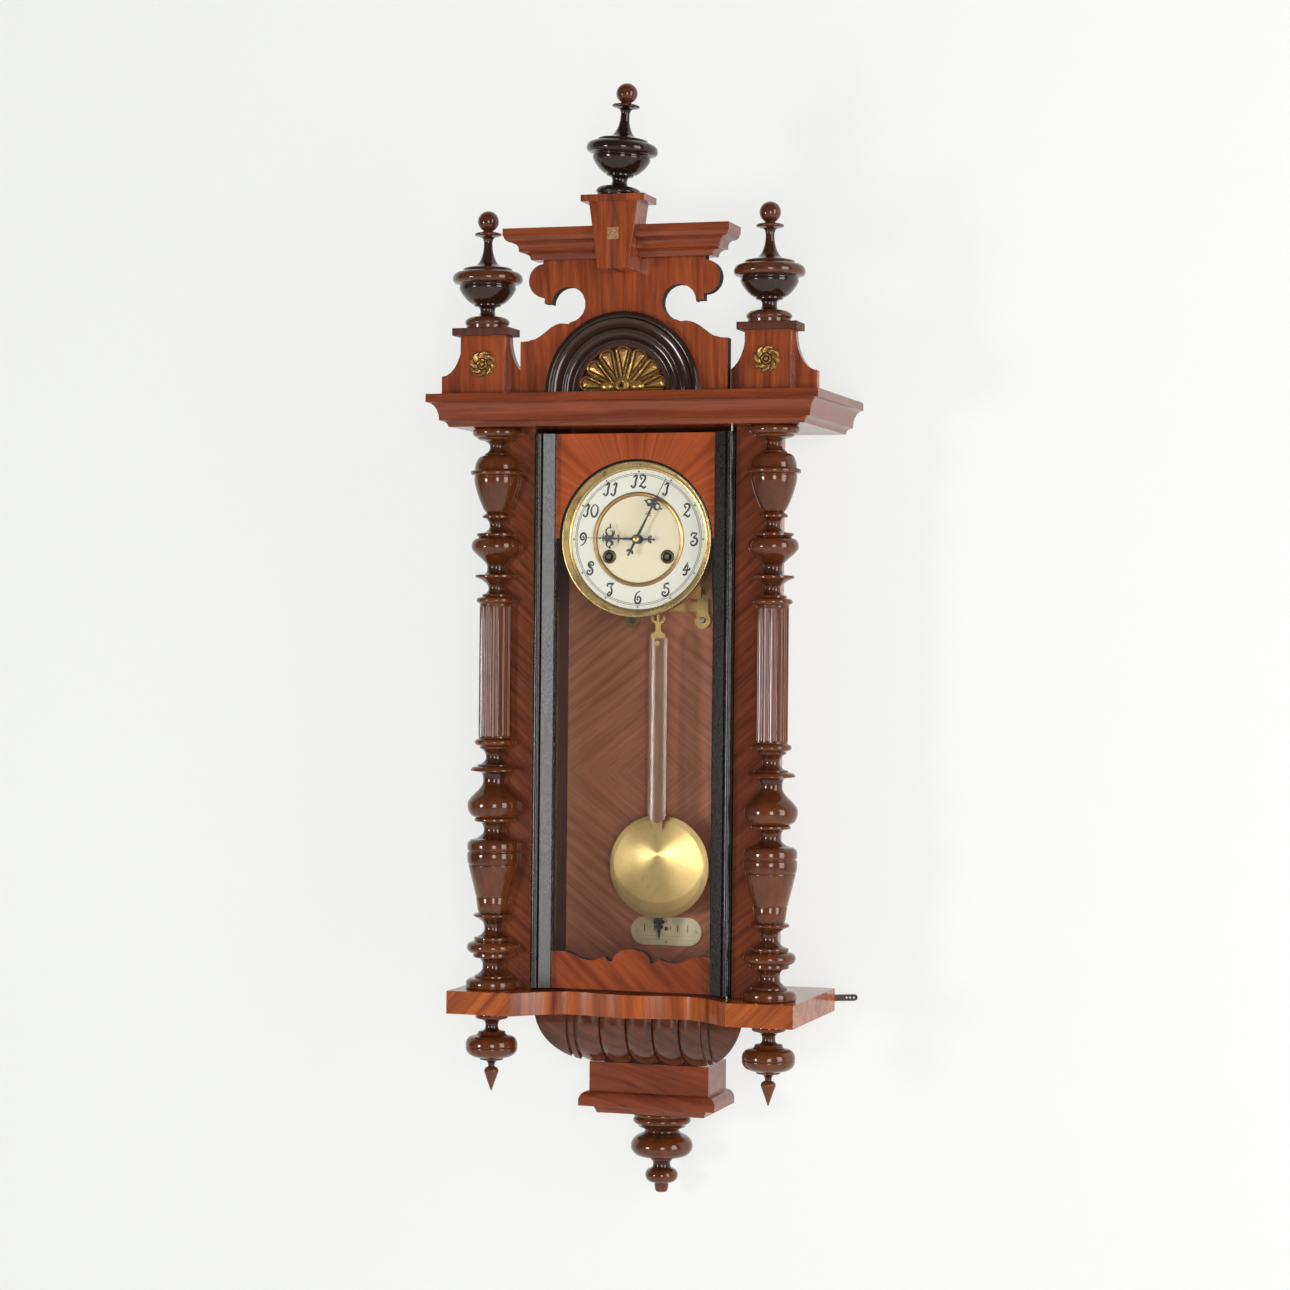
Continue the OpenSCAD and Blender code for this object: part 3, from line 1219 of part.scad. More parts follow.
// Wooden rod with a rounded front and foot
module pendulum_rod() {
    round_r = 27;
    color("peru") hung() difference() {
        intersection() {
            translate([0, rod_thick / 2, 0]) rotate([90, 0, 0]) linear_extrude(height = rod_thick) union() {
                translate([-rod_wide / 2, -rod_low + rod_wide / 2])
                    square([rod_wide, rod_low - rod_top - rod_wide / 2]);
                translate([0, -rod_low + rod_wide / 2]) circle(r = rod_wide / 2);
            }
            translate([0, round_r - rod_thick / 2, -rod_low - 1])
                cylinder(r = round_r, h = rod_low - rod_top + 2, $fn = 96);
        }
        translate([-5.4, -1.2, -rod_top - 8]) cube([10.8, 2.4, 9]);
        translate([0, rod_thick, -rod_top - 5]) rotate([90, 0, 0]) cylinder(r = 2.6, h = rod_thick * 2);
    }
}

// Bob: flat back, domed brass front, hung on a strap behind the rod
module pendulum_bob() {
    bk = rod_thick / 2;
    color("goldenrod") hung() union() {
        translate([0, bk + 9.4, -bob_drop]) rotate([90, 0, 0]) rotate_extrude($fn = 96)
            polygon(concat([[0, 0], [bob_r - 1, 0], [bob_r, 0.8], [bob_r, 2]],
                [for (i = [1:10]) let (u = 1 - i / 10) [bob_r * u, 2 + 6.4 * sqrt(1 - u * u)]]));
        translate([-5, bk, -bob_drop + bob_r - 14]) cube([10, 1.6, 40]);
        translate([-3, bk + 1.2, -bob_drop + bob_r - 6]) cube([6, 7, 5]);
    }
}

// Carved black pointer under the bob
module pendulum_pointer() {
    color("black") hung() translate([0, rod_thick / 2 + 11, -bob_drop - bob_r]) rotate([90, 0, 0]) union() {
        linear_extrude(height = 1.6)
            polygon([[-4.6, 2.6], [4.6, 2.6], [3.4, -3], [1.8, -11], [0, -22.6], [-1.8, -11], [-3.4, -3]]);
        for (s = [-1, 1]) {
            translate([s * 3.6, -4.4, 0]) cylinder(h = 1.6, r = 2.2);
            translate([s * 2.4, -9, 0]) cylinder(h = 1.6, r = 1.7);
        }
    }
}

// Plaque for the swing with the two pins that hold it
module beat_scale() {
    color("ivory") translate([1.6, -back_thick, scale_z]) rotate([90, 0, 0]) union() {
        linear_extrude(height = 1.6) {
            square([50, 28.8], center = true);
            for (s = [-1, 1]) intersection() {
                translate([s * 23.2, 0]) circle(r = 14.4);
                translate([s > 0 ? 0 : -60, -20]) square([60, 40]);
            }
        }
        for (s = [-1, 1]) translate([s * 31, 0, 1.5]) {
            cylinder(r = 0.9, h = 0.9);
            translate([0, 0, 0.6]) cylinder(r1 = 2, r2 = 1.2, h = 1);
        }
    }
}

backboard();
case_sides();
base_board();
main_cornice();
columns();
side_drops();
console();
plinth();
pendant();
crest_board();
arch_moulding();
shell_ornament();
pedestals();
rosettes();
side_finials();
centre_finial();
crest_cornice();
keystone();
hanger_plate();
wood_screws();
movement_bracket();
gong_stand();
gong_coil();
beat_scale();
pivot_sockets();
door_pivots();
door_stile_left();
door_stile_right();
door_top_panel();
door_bottom_rail();
door_glass();
glass_slips();
steady_strap();
front_plate();
back_plate();
dial_bezel();
chapter_ring();
dial_trim();
dial_centre();
minute_hand();
hour_hand();
hour_wheel();
minute_wheel();
centre_wheel();
going_barrel();
second_wheel();
third_wheel();
escape_wheel();
anchor();
crutch();
pendulum_hook();
pendulum_rod();
pendulum_bob();
pendulum_pointer();
strike_barrel();
pin_wheel();
fly();
hammer();
winding_arbor_right();
winding_arbor_left();
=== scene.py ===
"""Finish of a spring-driven wall regulator clock.

Turned walnut, veneered boards, ebonised mouldings, gilt carving, brass and enamel are built
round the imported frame. Lengths are in metres, +Z is up and the door faces -Y. The origin lies
on the wall plane straight behind the centre of the dial.
"""

import json
import math

import bmesh
import bpy
from mathutils import Matrix, Vector


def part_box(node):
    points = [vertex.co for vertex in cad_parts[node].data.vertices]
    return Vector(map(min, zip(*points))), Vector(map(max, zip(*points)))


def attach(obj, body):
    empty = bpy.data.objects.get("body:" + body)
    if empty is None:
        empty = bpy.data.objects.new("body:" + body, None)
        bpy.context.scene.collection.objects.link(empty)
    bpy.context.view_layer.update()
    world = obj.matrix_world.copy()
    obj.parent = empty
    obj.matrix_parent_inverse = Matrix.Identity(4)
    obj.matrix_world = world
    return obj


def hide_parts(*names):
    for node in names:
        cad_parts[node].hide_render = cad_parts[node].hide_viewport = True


bl_info = {
    "name": "Regulator Clock Finish",
    "version": (1, 0, 0),
    "blender": (4, 5, 0),
    "location": "View3D > Sidebar > Clock",
    "description": "Turned work, veneers, carving and dial of a wall regulator clock",
    "category": "Object",
}

MM = 0.001
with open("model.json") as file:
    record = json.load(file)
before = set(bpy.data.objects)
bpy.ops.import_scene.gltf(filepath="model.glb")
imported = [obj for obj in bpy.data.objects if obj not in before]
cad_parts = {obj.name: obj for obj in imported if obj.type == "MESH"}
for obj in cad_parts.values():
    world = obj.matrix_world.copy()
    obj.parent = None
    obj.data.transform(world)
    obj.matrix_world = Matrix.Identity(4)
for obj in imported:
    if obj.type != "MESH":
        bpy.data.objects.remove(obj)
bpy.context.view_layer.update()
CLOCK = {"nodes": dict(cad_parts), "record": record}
BODY_OF = {
    node: body
    for body, nodes in CLOCK["record"]["behaviour"]["bodies"].items()
    for node in nodes
}


def low(node):
    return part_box(node)[0]


def high(node):
    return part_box(node)[1]


CORNICE_TOP = high("main_cornice").z
CORNICE_FOOT = low("main_cornice").z
BASE_TOP = high("base_board").z
BASE_FOOT = low("base_board").z
CREST_FRONT = -low("crest_board").y
# Axes of the columns and side finials, out from the middle line
COLUMN_X = 143.3 * MM
FINIAL_X = 144.6 * MM
# Distances from the wall to the faces of the hands, the plaque and the hand nut
MINUTE_FACE = 124.05 * MM
HOUR_FACE = 121.65 * MM
PLAQUE_FACE = 13.62 * MM
NUT_FACE = 125.8 * MM
# Height of the bob's centre
BOB_MIDDLE = (low("pendulum_bob").z + high("pendulum_bob").z) / 2


class ClockSizes(bpy.types.PropertyGroup):
    """Sizes that give the clock its edges, turnings and carving."""

    edge_round: bpy.props.FloatProperty(
        name="Board edges",
        description="Rounding on the edges of boards and mouldings",
        default=0.45 * MM,
        min=0.05 * MM,
        max=2 * MM,
        unit="LENGTH",
    )
    lip_round: bpy.props.FloatProperty(
        name="Turned lips",
        description="Rounding on the lips and beads of turned work",
        default=0.75 * MM,
        min=0.1 * MM,
        max=2 * MM,
        unit="LENGTH",
    )
    turning_steps: bpy.props.IntProperty(
        name="Turning steps",
        description="Steps round each turned piece",
        default=72,
        min=24,
        max=160,
    )
    flutes: bpy.props.IntProperty(
        name="Flutes",
        description="Flutes round the shaft of a column",
        default=14,
        min=8,
        max=24,
    )
    shell_leaves: bpy.props.IntProperty(
        name="Shell leaves",
        description="Carved leaves of the shell on the crest",
        default=7,
        min=5,
        max=11,
    )
    numeral_height: bpy.props.FloatProperty(
        name="Numeral height",
        description="Height of the painted numerals on the dial",
        default=12.4 * MM,
        min=6 * MM,
        max=18 * MM,
        unit="LENGTH",
    )


def colour_property(label, about, value):
    return bpy.props.FloatVectorProperty(
        name=label,
        description=about,
        subtype="COLOR",
        size=3,
        min=0.0,
        max=1.0,
        default=value,
    )


class ClockColours(bpy.types.PropertyGroup):
    """Colours of the clock's woods, metals and dial."""

    veneer_light: colour_property(
        "Veneer, light", "Light streaks of the walnut veneer", (0.41, 0.09, 0.025)
    )
    veneer_dark: colour_property(
        "Veneer, dark", "Dark streaks of the walnut veneer", (0.125, 0.022, 0.009)
    )
    turned_light: colour_property(
        "Turned wood, light", "Polished faces of turned work", (0.17, 0.041, 0.01)
    )
    # the dark colour of turned work is both its stain and painted shade in the hollows
    turned_dark: colour_property(
        "Turned wood, dark", "Stained hollows of turned work", (0.024, 0.007, 0.003)
    )
    ebony: colour_property(
        "Ebonised wood", "Black polish on mouldings", (0.012, 0.009, 0.008)
    )
    gilding: colour_property("Gilding", "Worn gold on the carving", (0.56, 0.31, 0.09))
    brass: colour_property("Brass", "Lacquered brass", (0.6, 0.43, 0.19))
    steel: colour_property("Steel", "Steel arbors and screws", (0.3, 0.29, 0.28))
    enamel: colour_property("Enamel", "Fired enamel of the hour ring", (0.86, 0.85, 0.76))
    cream: colour_property("Dial centre", "Cream centre of the dial", (0.88, 0.8, 0.6))
    ink: colour_property("Ink", "Painted numerals and hands", (0.014, 0.016, 0.018))


def sizes():
    return bpy.context.scene.clock_sizes


def colours():
    return bpy.context.scene.clock_colours


# Node graphs


class Graph:
    """Short hand for one node tree."""

    def __init__(self, tree):
        self.tree = tree

    def add(self, kind, inputs=None, **settings):
        node = self.tree.nodes.new(kind)
        for key, value in settings.items():
            setattr(node, key, value)
        for key, value in (inputs or {}).items():
            self.feed(node, key, value)
        return node

    def feed(self, node, key, value):
        socket = node.inputs[key]
        if isinstance(value, bpy.types.NodeSocket):
            self.tree.links.new(value, socket)
        else:
            if socket.type == "RGBA" and len(value) == 3:
                value = (*value, 1.0)
            socket.default_value = value

    def maths(self, operation, a, b=0.0, clamp=False):
        node = self.add("ShaderNodeMath", {0: a, 1: b}, operation=operation)
        node.use_clamp = clamp
        return node.outputs[0]

    def away(self, a, b):
        """Distance of a point from the centre that a and b are measured from."""
        squares = self.maths("ADD", self.maths("MULTIPLY", a, a), self.maths("MULTIPLY", b, b))
        return self.maths("SQRT", squares)

    def mix(self, factor, a, b):
        """Mix of two colours, whose sockets on the node are the seventh and eighth."""
        return self.add("ShaderNodeMix", {0: factor, 6: a, 7: b}, data_type="RGBA").outputs[2]

    def span(self, value, low_in, high_in, low_out=0.0, high_out=1.0):
        node = self.add(
            "ShaderNodeMapRange",
            {0: value, 1: low_in, 2: high_in, 3: low_out, 4: high_out},
        )
        return node.outputs[0]

    def noise(self, vector, scale, detail=3.0, rough=0.5):
        node = self.add(
            "ShaderNodeTexNoise",
            {"Vector": vector, "Scale": scale, "Detail": detail, "Roughness": rough},
        )
        return node.outputs[0]

    def place(self, vector, turn=(0, 0, 0), scale=(1, 1, 1)):
        """Turns a vector by degrees and stretches it."""
        node = self.add(
            "ShaderNodeMapping",
            {"Vector": vector, "Rotation": [math.radians(a) for a in turn], "Scale": scale},
        )
        return node.outputs[0]

    def split(self, vector):
        return self.add("ShaderNodeSeparateXYZ", {0: vector}).outputs

    def join(self, x, y, z):
        return self.add("ShaderNodeCombineXYZ", {0: x, 1: y, 2: z}).outputs[0]


def new_group(name, inputs, outputs):
    tree = bpy.data.node_groups.new(name, "ShaderNodeTree")
    for label, kind, value in inputs:
        socket = tree.interface.new_socket(name=label, in_out="INPUT", socket_type=kind)
        if value is not None:
            socket.default_value = value
    for label, kind in outputs:
        tree.interface.new_socket(name=label, in_out="OUTPUT", socket_type=kind)
    graph = Graph(tree)
    return graph, graph.add("NodeGroupInput").outputs, graph.add("NodeGroupOutput")


GROUPS = {}


def build_grain_group():
    """Straight wood grain that runs along the local Z of its vector."""
    graph, given, out = new_group(
        "Wood Grain",
        [
            ("Vector", "NodeSocketVector", None),
            ("Light", "NodeSocketColor", (0.4, 0.1, 0.03, 1)),
            ("Dark", "NodeSocketColor", (0.12, 0.02, 0.01, 1)),
            ("Streak", "NodeSocketFloat", 70.0),
            ("Wave", "NodeSocketFloat", 0.25),
            ("Depth", "NodeSocketFloat", 1.0),
        ],
        [
            ("Color", "NodeSocketColor"),
            ("Roughness", "NodeSocketFloat"),
            ("Height", "NodeSocketFloat"),
        ],
    )
    vector = given["Vector"]
    drift = graph.noise(graph.place(vector, scale=(1, 1, 0.35)), 9.0, 2.0)
    bend = graph.maths("MULTIPLY", graph.maths("SUBTRACT", drift, 0.5), given["Wave"])
    x, y, z = graph.split(vector)
    bent = graph.join(
        graph.maths("ADD", x, graph.maths("MULTIPLY", bend, 0.12)),
        graph.maths("ADD", y, graph.maths("MULTIPLY", bend, 0.09)),
        z,
    )
    broad = graph.noise(graph.place(bent, scale=(1, 1, 0.05)), given["Streak"], 4.0, 0.6)
    fine = graph.noise(graph.place(bent, scale=(1, 1, 0.03)), 620.0, 2.0, 0.6)
    pores = graph.noise(graph.place(bent, scale=(1, 1, 0.06)), 900.0, 2.0, 0.6)
    cloud = graph.noise(vector, 14.0, 2.0)
    streak = graph.span(broad, 0.34, 0.68)
    streak = graph.maths(
        "ADD", graph.maths("MULTIPLY", streak, 0.55), graph.maths("MULTIPLY", fine, 0.45)
    )
    streak = graph.maths(
        "ADD", streak, graph.maths("MULTIPLY", graph.maths("SUBTRACT", cloud, 0.5), 0.5)
    )
    depth = graph.maths("MULTIPLY", streak, given["Depth"], clamp=True)
    colour = graph.mix(depth, given["Light"], given["Dark"])
    pore = graph.span(pores, 0.6, 0.74)
    colour = graph.mix(graph.maths("MULTIPLY", pore, 0.45), colour, (0.018, 0.006, 0.003))
    graph.feed(out, "Color", colour)
    sheen = graph.span(cloud, 0.3, 0.7, 0.14, 0.22)
    graph.feed(out, "Roughness", graph.maths("ADD", graph.maths("MULTIPLY", pore, 0.2), sheen))
    graph.feed(out, "Height", graph.maths("MULTIPLY", pore, -1.0))
    GROUPS["grain"] = graph.tree


def build_age_group():
    """Handling marks: lighter rubbed patches, dark spots and a soft uneven sheen."""
    graph, given, out = new_group(
        "Age",
        [
            ("Vector", "NodeSocketVector", None),
            ("Color", "NodeSocketColor", (0.5, 0.5, 0.5, 1)),
            ("Stain", "NodeSocketColor", (0.02, 0.01, 0.005, 1)),
            ("Amount", "NodeSocketFloat", 0.3),
            ("Spot Scale", "NodeSocketFloat", 220.0),
        ],
        [
            ("Color", "NodeSocketColor"),
            ("Mask", "NodeSocketFloat"),
            ("Height", "NodeSocketFloat"),
        ],
    )
    vector = given["Vector"]
    cloud = graph.noise(vector, 30.0, 4.0, 0.6)
    spots = graph.noise(vector, given["Spot Scale"], 2.0, 0.5)
    spot = graph.span(spots, 0.66, 0.74)
    film = graph.span(cloud, 0.42, 0.72)
    mask = graph.maths(
        "MULTIPLY",
        graph.maths("ADD", film, graph.maths("MULTIPLY", spot, 0.8), clamp=True),
        given["Amount"],
        clamp=True,
    )
    graph.feed(out, "Color", graph.mix(mask, given["Color"], given["Stain"]))
    graph.feed(out, "Mask", mask)
    graph.feed(out, "Height", graph.maths("MULTIPLY", spot, -0.5))
    GROUPS["age"] = graph.tree


def new_material(name):
    material = bpy.data.materials.new(name)
    material.use_nodes = True
    tree = material.node_tree
    tree.nodes.clear()
    graph = Graph(tree)
    output = graph.add("ShaderNodeOutputMaterial")
    shader = graph.add("ShaderNodeBsdfPrincipled")
    tree.links.new(shader.outputs[0], output.inputs[0])
    place = graph.add("ShaderNodeTexCoord").outputs["Object"]
    return material, graph, shader, place


def bumped(graph, height, distance, strength):
    bump = {"Height": height, "Distance": distance, "Strength": strength}
    return graph.add("ShaderNodeBump", bump).outputs[0]


def polish(shader, coat, coat_roughness, specular):
    shader.inputs["Coat Weight"].default_value = coat
    shader.inputs["Coat Roughness"].default_value = coat_roughness
    shader.inputs["Specular IOR Level"].default_value = specular


MATERIALS = {}


def veneer(
    name,
    direction,
    light=None,
    dark=None,
    streak=190.0,
    wave=0.3,
    coat=0.15,
    stained=None,
    inlaid=None,
):
    """French-polished walnut veneer.

    direction(graph, place) gives the grain's vector, stained where it is blackened and inlaid
    where a pale wood shows.
    """
    hues = colours()
    material, graph, shader, place = new_material(name)
    grain = graph.add("ShaderNodeGroup", node_tree=GROUPS["grain"])
    graph.feed(grain, "Vector", direction(graph, place))
    graph.feed(grain, "Light", tuple(light or hues.veneer_light))
    graph.feed(grain, "Dark", tuple(dark or hues.veneer_dark))
    graph.feed(grain, "Streak", streak)
    graph.feed(grain, "Wave", wave)
    graph.feed(grain, "Depth", 1.1)
    colour = grain.outputs["Color"]
    roughness = grain.outputs["Roughness"]
    polish(shader, coat, 0.04, 0.3)
    if stained:
        sawn = stained(graph, place)
        colour = graph.mix(sawn, colour, (0.012, 0.006, 0.004))
        roughness = graph.maths("ADD", roughness, graph.maths("MULTIPLY", sawn, 0.5))
        graph.feed(shader, "Coat Weight", graph.span(sawn, 0, 1, coat, 0))
    if inlaid:
        colour = graph.mix(inlaid(graph, place), colour, (0.4, 0.24, 0.12))
    graph.feed(shader, "Base Color", colour)
    graph.feed(shader, "Roughness", roughness)
    graph.feed(shader, "Normal", bumped(graph, grain.outputs["Height"], 0.00012, 0.35))
    MATERIALS[name] = material


def along(turn=(0, 0, 0)):
    """Straight grain, upright before it is turned by degrees."""
    return lambda graph, place: graph.place(place, turn=turn)


def mirrored_slant(angle):
    """Grain that climbs outwards at an angle on both halves."""

    def direction(graph, place):
        x, y, z = graph.split(place)
        vector = graph.join(graph.maths("ABSOLUTE", x), y, z)
        return graph.place(vector, turn=(0, angle, 0))

    return direction


def diamond(centre):
    """Grain of four matched leaves that close to diamonds round a centre height."""

    def direction(graph, place):
        x, y, z = graph.split(place)
        rise = graph.maths("ABSOLUTE", graph.maths("SUBTRACT", z, centre))
        vector = graph.join(graph.maths("ABSOLUTE", x), y, rise)
        return graph.place(vector, turn=(0, 52, 0))

    return direction


def fan(centre):
    """Grain that spreads from a point at a height on the middle line."""

    def direction(graph, place):
        x, y, z = graph.split(place)
        rise = graph.maths("SUBTRACT", z, centre)
        angle = graph.maths("ARCTAN2", graph.maths("ABSOLUTE", x), rise)
        return graph.join(graph.maths("MULTIPLY", angle, 0.11), y, graph.away(x, rise))

    return direction


def blocks_and_bands(graph, place):
    """Upright bands on the serpentine front and slanting grain on the corner blocks."""
    across = graph.maths("ABSOLUTE", graph.split(place)["X"])
    block = graph.maths("GREATER_THAN", across, 110 * MM)
    slanted = graph.place(place, turn=(0, -42, 24))
    upright = graph.place(place, turn=(0, 3, 0))
    choice = graph.add("ShaderNodeMix", {0: block, 4: upright, 5: slanted}, data_type="VECTOR")
    return choice.outputs[1]


def edge_stain(graph, place):
    """The sawn edges of a board that faces the front."""
    normal = graph.add("ShaderNodeNewGeometry").outputs["True Normal"]
    return graph.span(graph.maths("ABSOLUTE", graph.split(normal)["Y"]), 0.75, 0.45)


def inner_stain(graph, place):
    """The dark inner faces of the case's sides."""
    normal = graph.add("ShaderNodeNewGeometry").outputs["True Normal"]
    facing = graph.split(normal)["X"]
    side = graph.split(place)["X"]
    # darker where a face of a side looks inward
    inward = graph.maths("LESS_THAN", graph.maths("MULTIPLY", side, facing), -0.03)
    return graph.maths("MULTIPLY", inward, 0.7)


def crest_stain(graph, place):
    """The sawn edges and the field behind the shell."""
    x, _, z = graph.split(place)
    reach = graph.away(x, graph.maths("SUBTRACT", z, CORNICE_TOP))
    field = graph.maths("LESS_THAN", reach, 50.5 * MM)
    return graph.maths("MAXIMUM", edge_stain(graph, place), graph.maths("MULTIPLY", field, 0.85))


def cap_stain(graph, place):
    """The caps of the pedestals."""
    cap = graph.maths("GREATER_THAN", graph.split(place)["Z"], CORNICE_TOP + 57.8 * MM)
    return graph.maths("MULTIPLY", cap, 0.7)


def key_stain(graph, place):
    """The dark streak down the middle of the keystone."""
    drift = graph.noise(graph.place(place, scale=(0.3, 1, 1)), 40.0, 2.0)
    sway = graph.maths("MULTIPLY", graph.maths("SUBTRACT", drift, 0.5), 8 * MM)
    middle = graph.maths("ADD", graph.split(place)["X"], sway)
    return graph.span(graph.maths("ABSOLUTE", middle), 0.8 * MM, 3.4 * MM, 0.6, 0.0)


def key_inlay(graph, place):
    """A small rubbed square let into the keystone."""
    x, _, z = graph.split(place)
    rise = graph.maths("ABSOLUTE", graph.maths("SUBTRACT", z, 292 * MM))
    reach = graph.maths("MAXIMUM", graph.maths("ABSOLUTE", x), rise)
    rubbed = graph.span(graph.noise(place, 600.0, 2.0), 0.35, 0.6, 0.25, 0.9)
    return graph.maths("MULTIPLY", graph.span(reach, 5.4 * MM, 6 * MM, 1.0, 0.0), rubbed)


def turned_wood(name, light, dark, ball_above=None, bowl=None):
    """Dark polished turned wood, darker in its hollows, where stain and painted shade are mixed in.

    The ball of a finial, above a height, is redder. bowl gives the heights of its dark bowl.
    """
    material, graph, shader, place = new_material(name)
    grain = graph.add("ShaderNodeGroup", node_tree=GROUPS["grain"])
    graph.feed(grain, "Vector", place)
    graph.feed(grain, "Light", light)
    graph.feed(grain, "Dark", tuple(c * 0.45 for c in light))
    graph.feed(grain, "Streak", 110.0)
    graph.feed(grain, "Wave", 0.4)
    hollow = graph.add("ShaderNodeAttribute", attribute_name="hollow").outputs["Fac"]
    cloud = graph.noise(place, 40.0, 3.0)
    # stain and painted shade: darker where the surface is hollow, plus darker random clouds
    shade = graph.maths(
        "ADD", graph.span(hollow, 0.42, 0.62), graph.span(cloud, 0.55, 0.85, 0, 0.5), clamp=True
    )
    z = graph.split(place)["Z"]
    body = grain.outputs["Color"]
    if ball_above is not None:
        ball = graph.maths("GREATER_THAN", z, ball_above)
        body = graph.mix(ball, body, (0.1, 0.022, 0.008))
        shade = graph.maths("MULTIPLY", shade, graph.span(ball, 0, 1, 1, 0.3))
    if bowl:
        inside = graph.maths(
            "MULTIPLY",
            graph.span(z, bowl[0] - 2 * MM, bowl[0], 0, 0.9),
            graph.span(z, bowl[1], bowl[1] + MM, 1, 0),
        )
        body = graph.mix(inside, body, (0.02, 0.007, 0.004))
    graph.feed(shader, "Base Color", graph.mix(shade, body, dark))
    graph.feed(shader, "Roughness", graph.maths("MULTIPLY", grain.outputs["Roughness"], 0.7))
    graph.feed(shader, "Normal", bumped(graph, grain.outputs["Height"], 0.0001, 0.25))
    polish(shader, 0.5, 0.04, 0.22)
    MATERIALS[name] = material


def arch_hollows(graph, place):
    """The two brown hollows of the arch."""
    x, _, z = graph.split(place)
    reach = graph.away(x, graph.maths("SUBTRACT", z, CORNICE_TOP))
    inner = graph.maths("COMPARE", reach, 55.8 * MM)
    wide = graph.maths("COMPARE", reach, 67.7 * MM)
    # the third input is half of each hollow's width
    inner.node.inputs[2].default_value = 3 * MM
    wide.node.inputs[2].default_value = 4.7 * MM
    return graph.maths("MAXIMUM", inner, wide)


def ebonised(name, worn, crackle, colour=None, browned=None):
    """Black polish with brown showing where it is rubbed, and fine crackle.

    browned(graph, place) gives where the wood was left brown.
    """
    hues = colours()
    material, graph, shader, place = new_material(name)
    age = graph.add("ShaderNodeGroup", node_tree=GROUPS["age"])
    graph.feed(age, "Vector", graph.place(place, scale=(1, 1, 0.3)))
    graph.feed(age, "Color", tuple(colour or hues.ebony))
    graph.feed(age, "Stain", (0.06, 0.028, 0.016))
    graph.feed(age, "Amount", worn)
    graph.feed(age, "Spot Scale", 500.0)
    shown = age.outputs["Color"]
    if browned:
        shown = graph.mix(browned(graph, place), shown, (0.032, 0.012, 0.006))
    graph.feed(shader, "Base Color", shown)
    flecks = graph.noise(graph.place(place, scale=(1, 1, 0.4)), 900.0, 3.0, 0.7)
    graph.feed(shader, "Roughness", graph.span(flecks, 0.35, 0.75, 0.12, 0.2 + crackle))
    if crackle:
        graph.feed(shader, "Normal", bumped(graph, flecks, 0.0004, crackle))
    polish(shader, 0.32 - 0.2 * min(1.0, crackle), 0.05, 0.27)
    MATERIALS[name] = material


def metal(name, colour, stain, amount, roughness, spots=220.0, anisotropic=0.0, dull=None):
    """Old lacquered metal with a brown film and dark spots.

    dull(graph, place) gives where it is browner.
    """
    material, graph, shader, place = new_material(name)
    age = graph.add("ShaderNodeGroup", node_tree=GROUPS["age"])
    graph.feed(age, "Vector", place)
    graph.feed(age, "Color", tuple(colour))
    graph.feed(age, "Stain", stain)
    graph.feed(age, "Amount", amount)
    graph.feed(age, "Spot Scale", spots)
    shown = age.outputs["Color"]
    if dull:
        shown = graph.mix(dull(graph, place), shown, stain)
    graph.feed(shader, "Base Color", shown)
    shader.inputs["Metallic"].default_value = 1.0
    graph.feed(
        shader, "Roughness", graph.span(age.outputs["Mask"], 0, 1, roughness, roughness + 0.25)
    )
    graph.feed(shader, "Normal", bumped(graph, age.outputs["Height"], 0.00003, 0.2))
    if anisotropic:
        shader.inputs["Anisotropic"].default_value = anisotropic
        shader.inputs["Anisotropic Rotation"].default_value = 0.25
        tangent = graph.add("ShaderNodeTangent", direction_type="RADIAL", axis="Y")
        graph.feed(shader, "Tangent", tangent.outputs[0])
    MATERIALS[name] = material


def grommets(graph, place):
    """The two winding grommets inside the brass ring."""
    x, _, z = graph.split(place)
    return graph.maths("LESS_THAN", graph.away(x, z), 42.5 * MM)


def bob_rim(graph, place):
    """The tarnished rim of the bob."""
    x, _, z = graph.split(place)
    reach = graph.away(x, graph.maths("SUBTRACT", z, BOB_MIDDLE))
    return graph.span(reach, 48.5 * MM, 50.5 * MM, 0.0, 0.5)


def gilt(name):
    """Worn gold leaf, bright on raised edges and brown in the carving."""
    hues = colours()
    material, graph, shader, place = new_material(name)
    hollow = graph.add("ShaderNodeAttribute", attribute_name="hollow").outputs["Fac"]
    cloud = graph.noise(place, 160.0, 4.0, 0.6)
    dirt = graph.maths(
        "ADD", graph.span(hollow, 0.47, 0.6), graph.span(cloud, 0.42, 0.7, 0, 0.75), clamp=True
    )
    graph.feed(shader, "Base Color", graph.mix(dirt, tuple(hues.gilding), (0.06, 0.024, 0.007)))
    graph.feed(shader, "Metallic", graph.span(dirt, 0, 1, 0.85, 0.2))
    graph.feed(shader, "Roughness", graph.span(dirt, 0, 1, 0.26, 0.45))
    graph.feed(shader, "Normal", bumped(graph, cloud, 0.0003, 0.35))
    MATERIALS[name] = material


def enamelled(name, colour, shade, warm):
    """Fired enamel or lacquer with soft clouds of a warmer shade."""
    material, graph, shader, place = new_material(name)
    cloud = graph.span(graph.noise(place, 22.0, 3.0), 0.35, 0.75, 0, warm)
    graph.feed(shader, "Base Color", graph.mix(cloud, tuple(colour), shade))
    shader.inputs["Roughness"].default_value = 0.22
    polish(shader, 0.2, 0.05, 0.3)
    MATERIALS[name] = material


def blend_in(graph, factor, first, second):
    """Mixes two shaders into the material's output."""
    tree = graph.tree
    output = next(n for n in tree.nodes if n.type == "OUTPUT_MATERIAL")
    both = graph.add("ShaderNodeMixShader")
    graph.feed(both, 0, factor)
    tree.links.new(first.outputs[0], both.inputs[1])
    tree.links.new(second.outputs[0], both.inputs[2])
    tree.links.new(both.outputs[0], output.inputs[0])
    return both


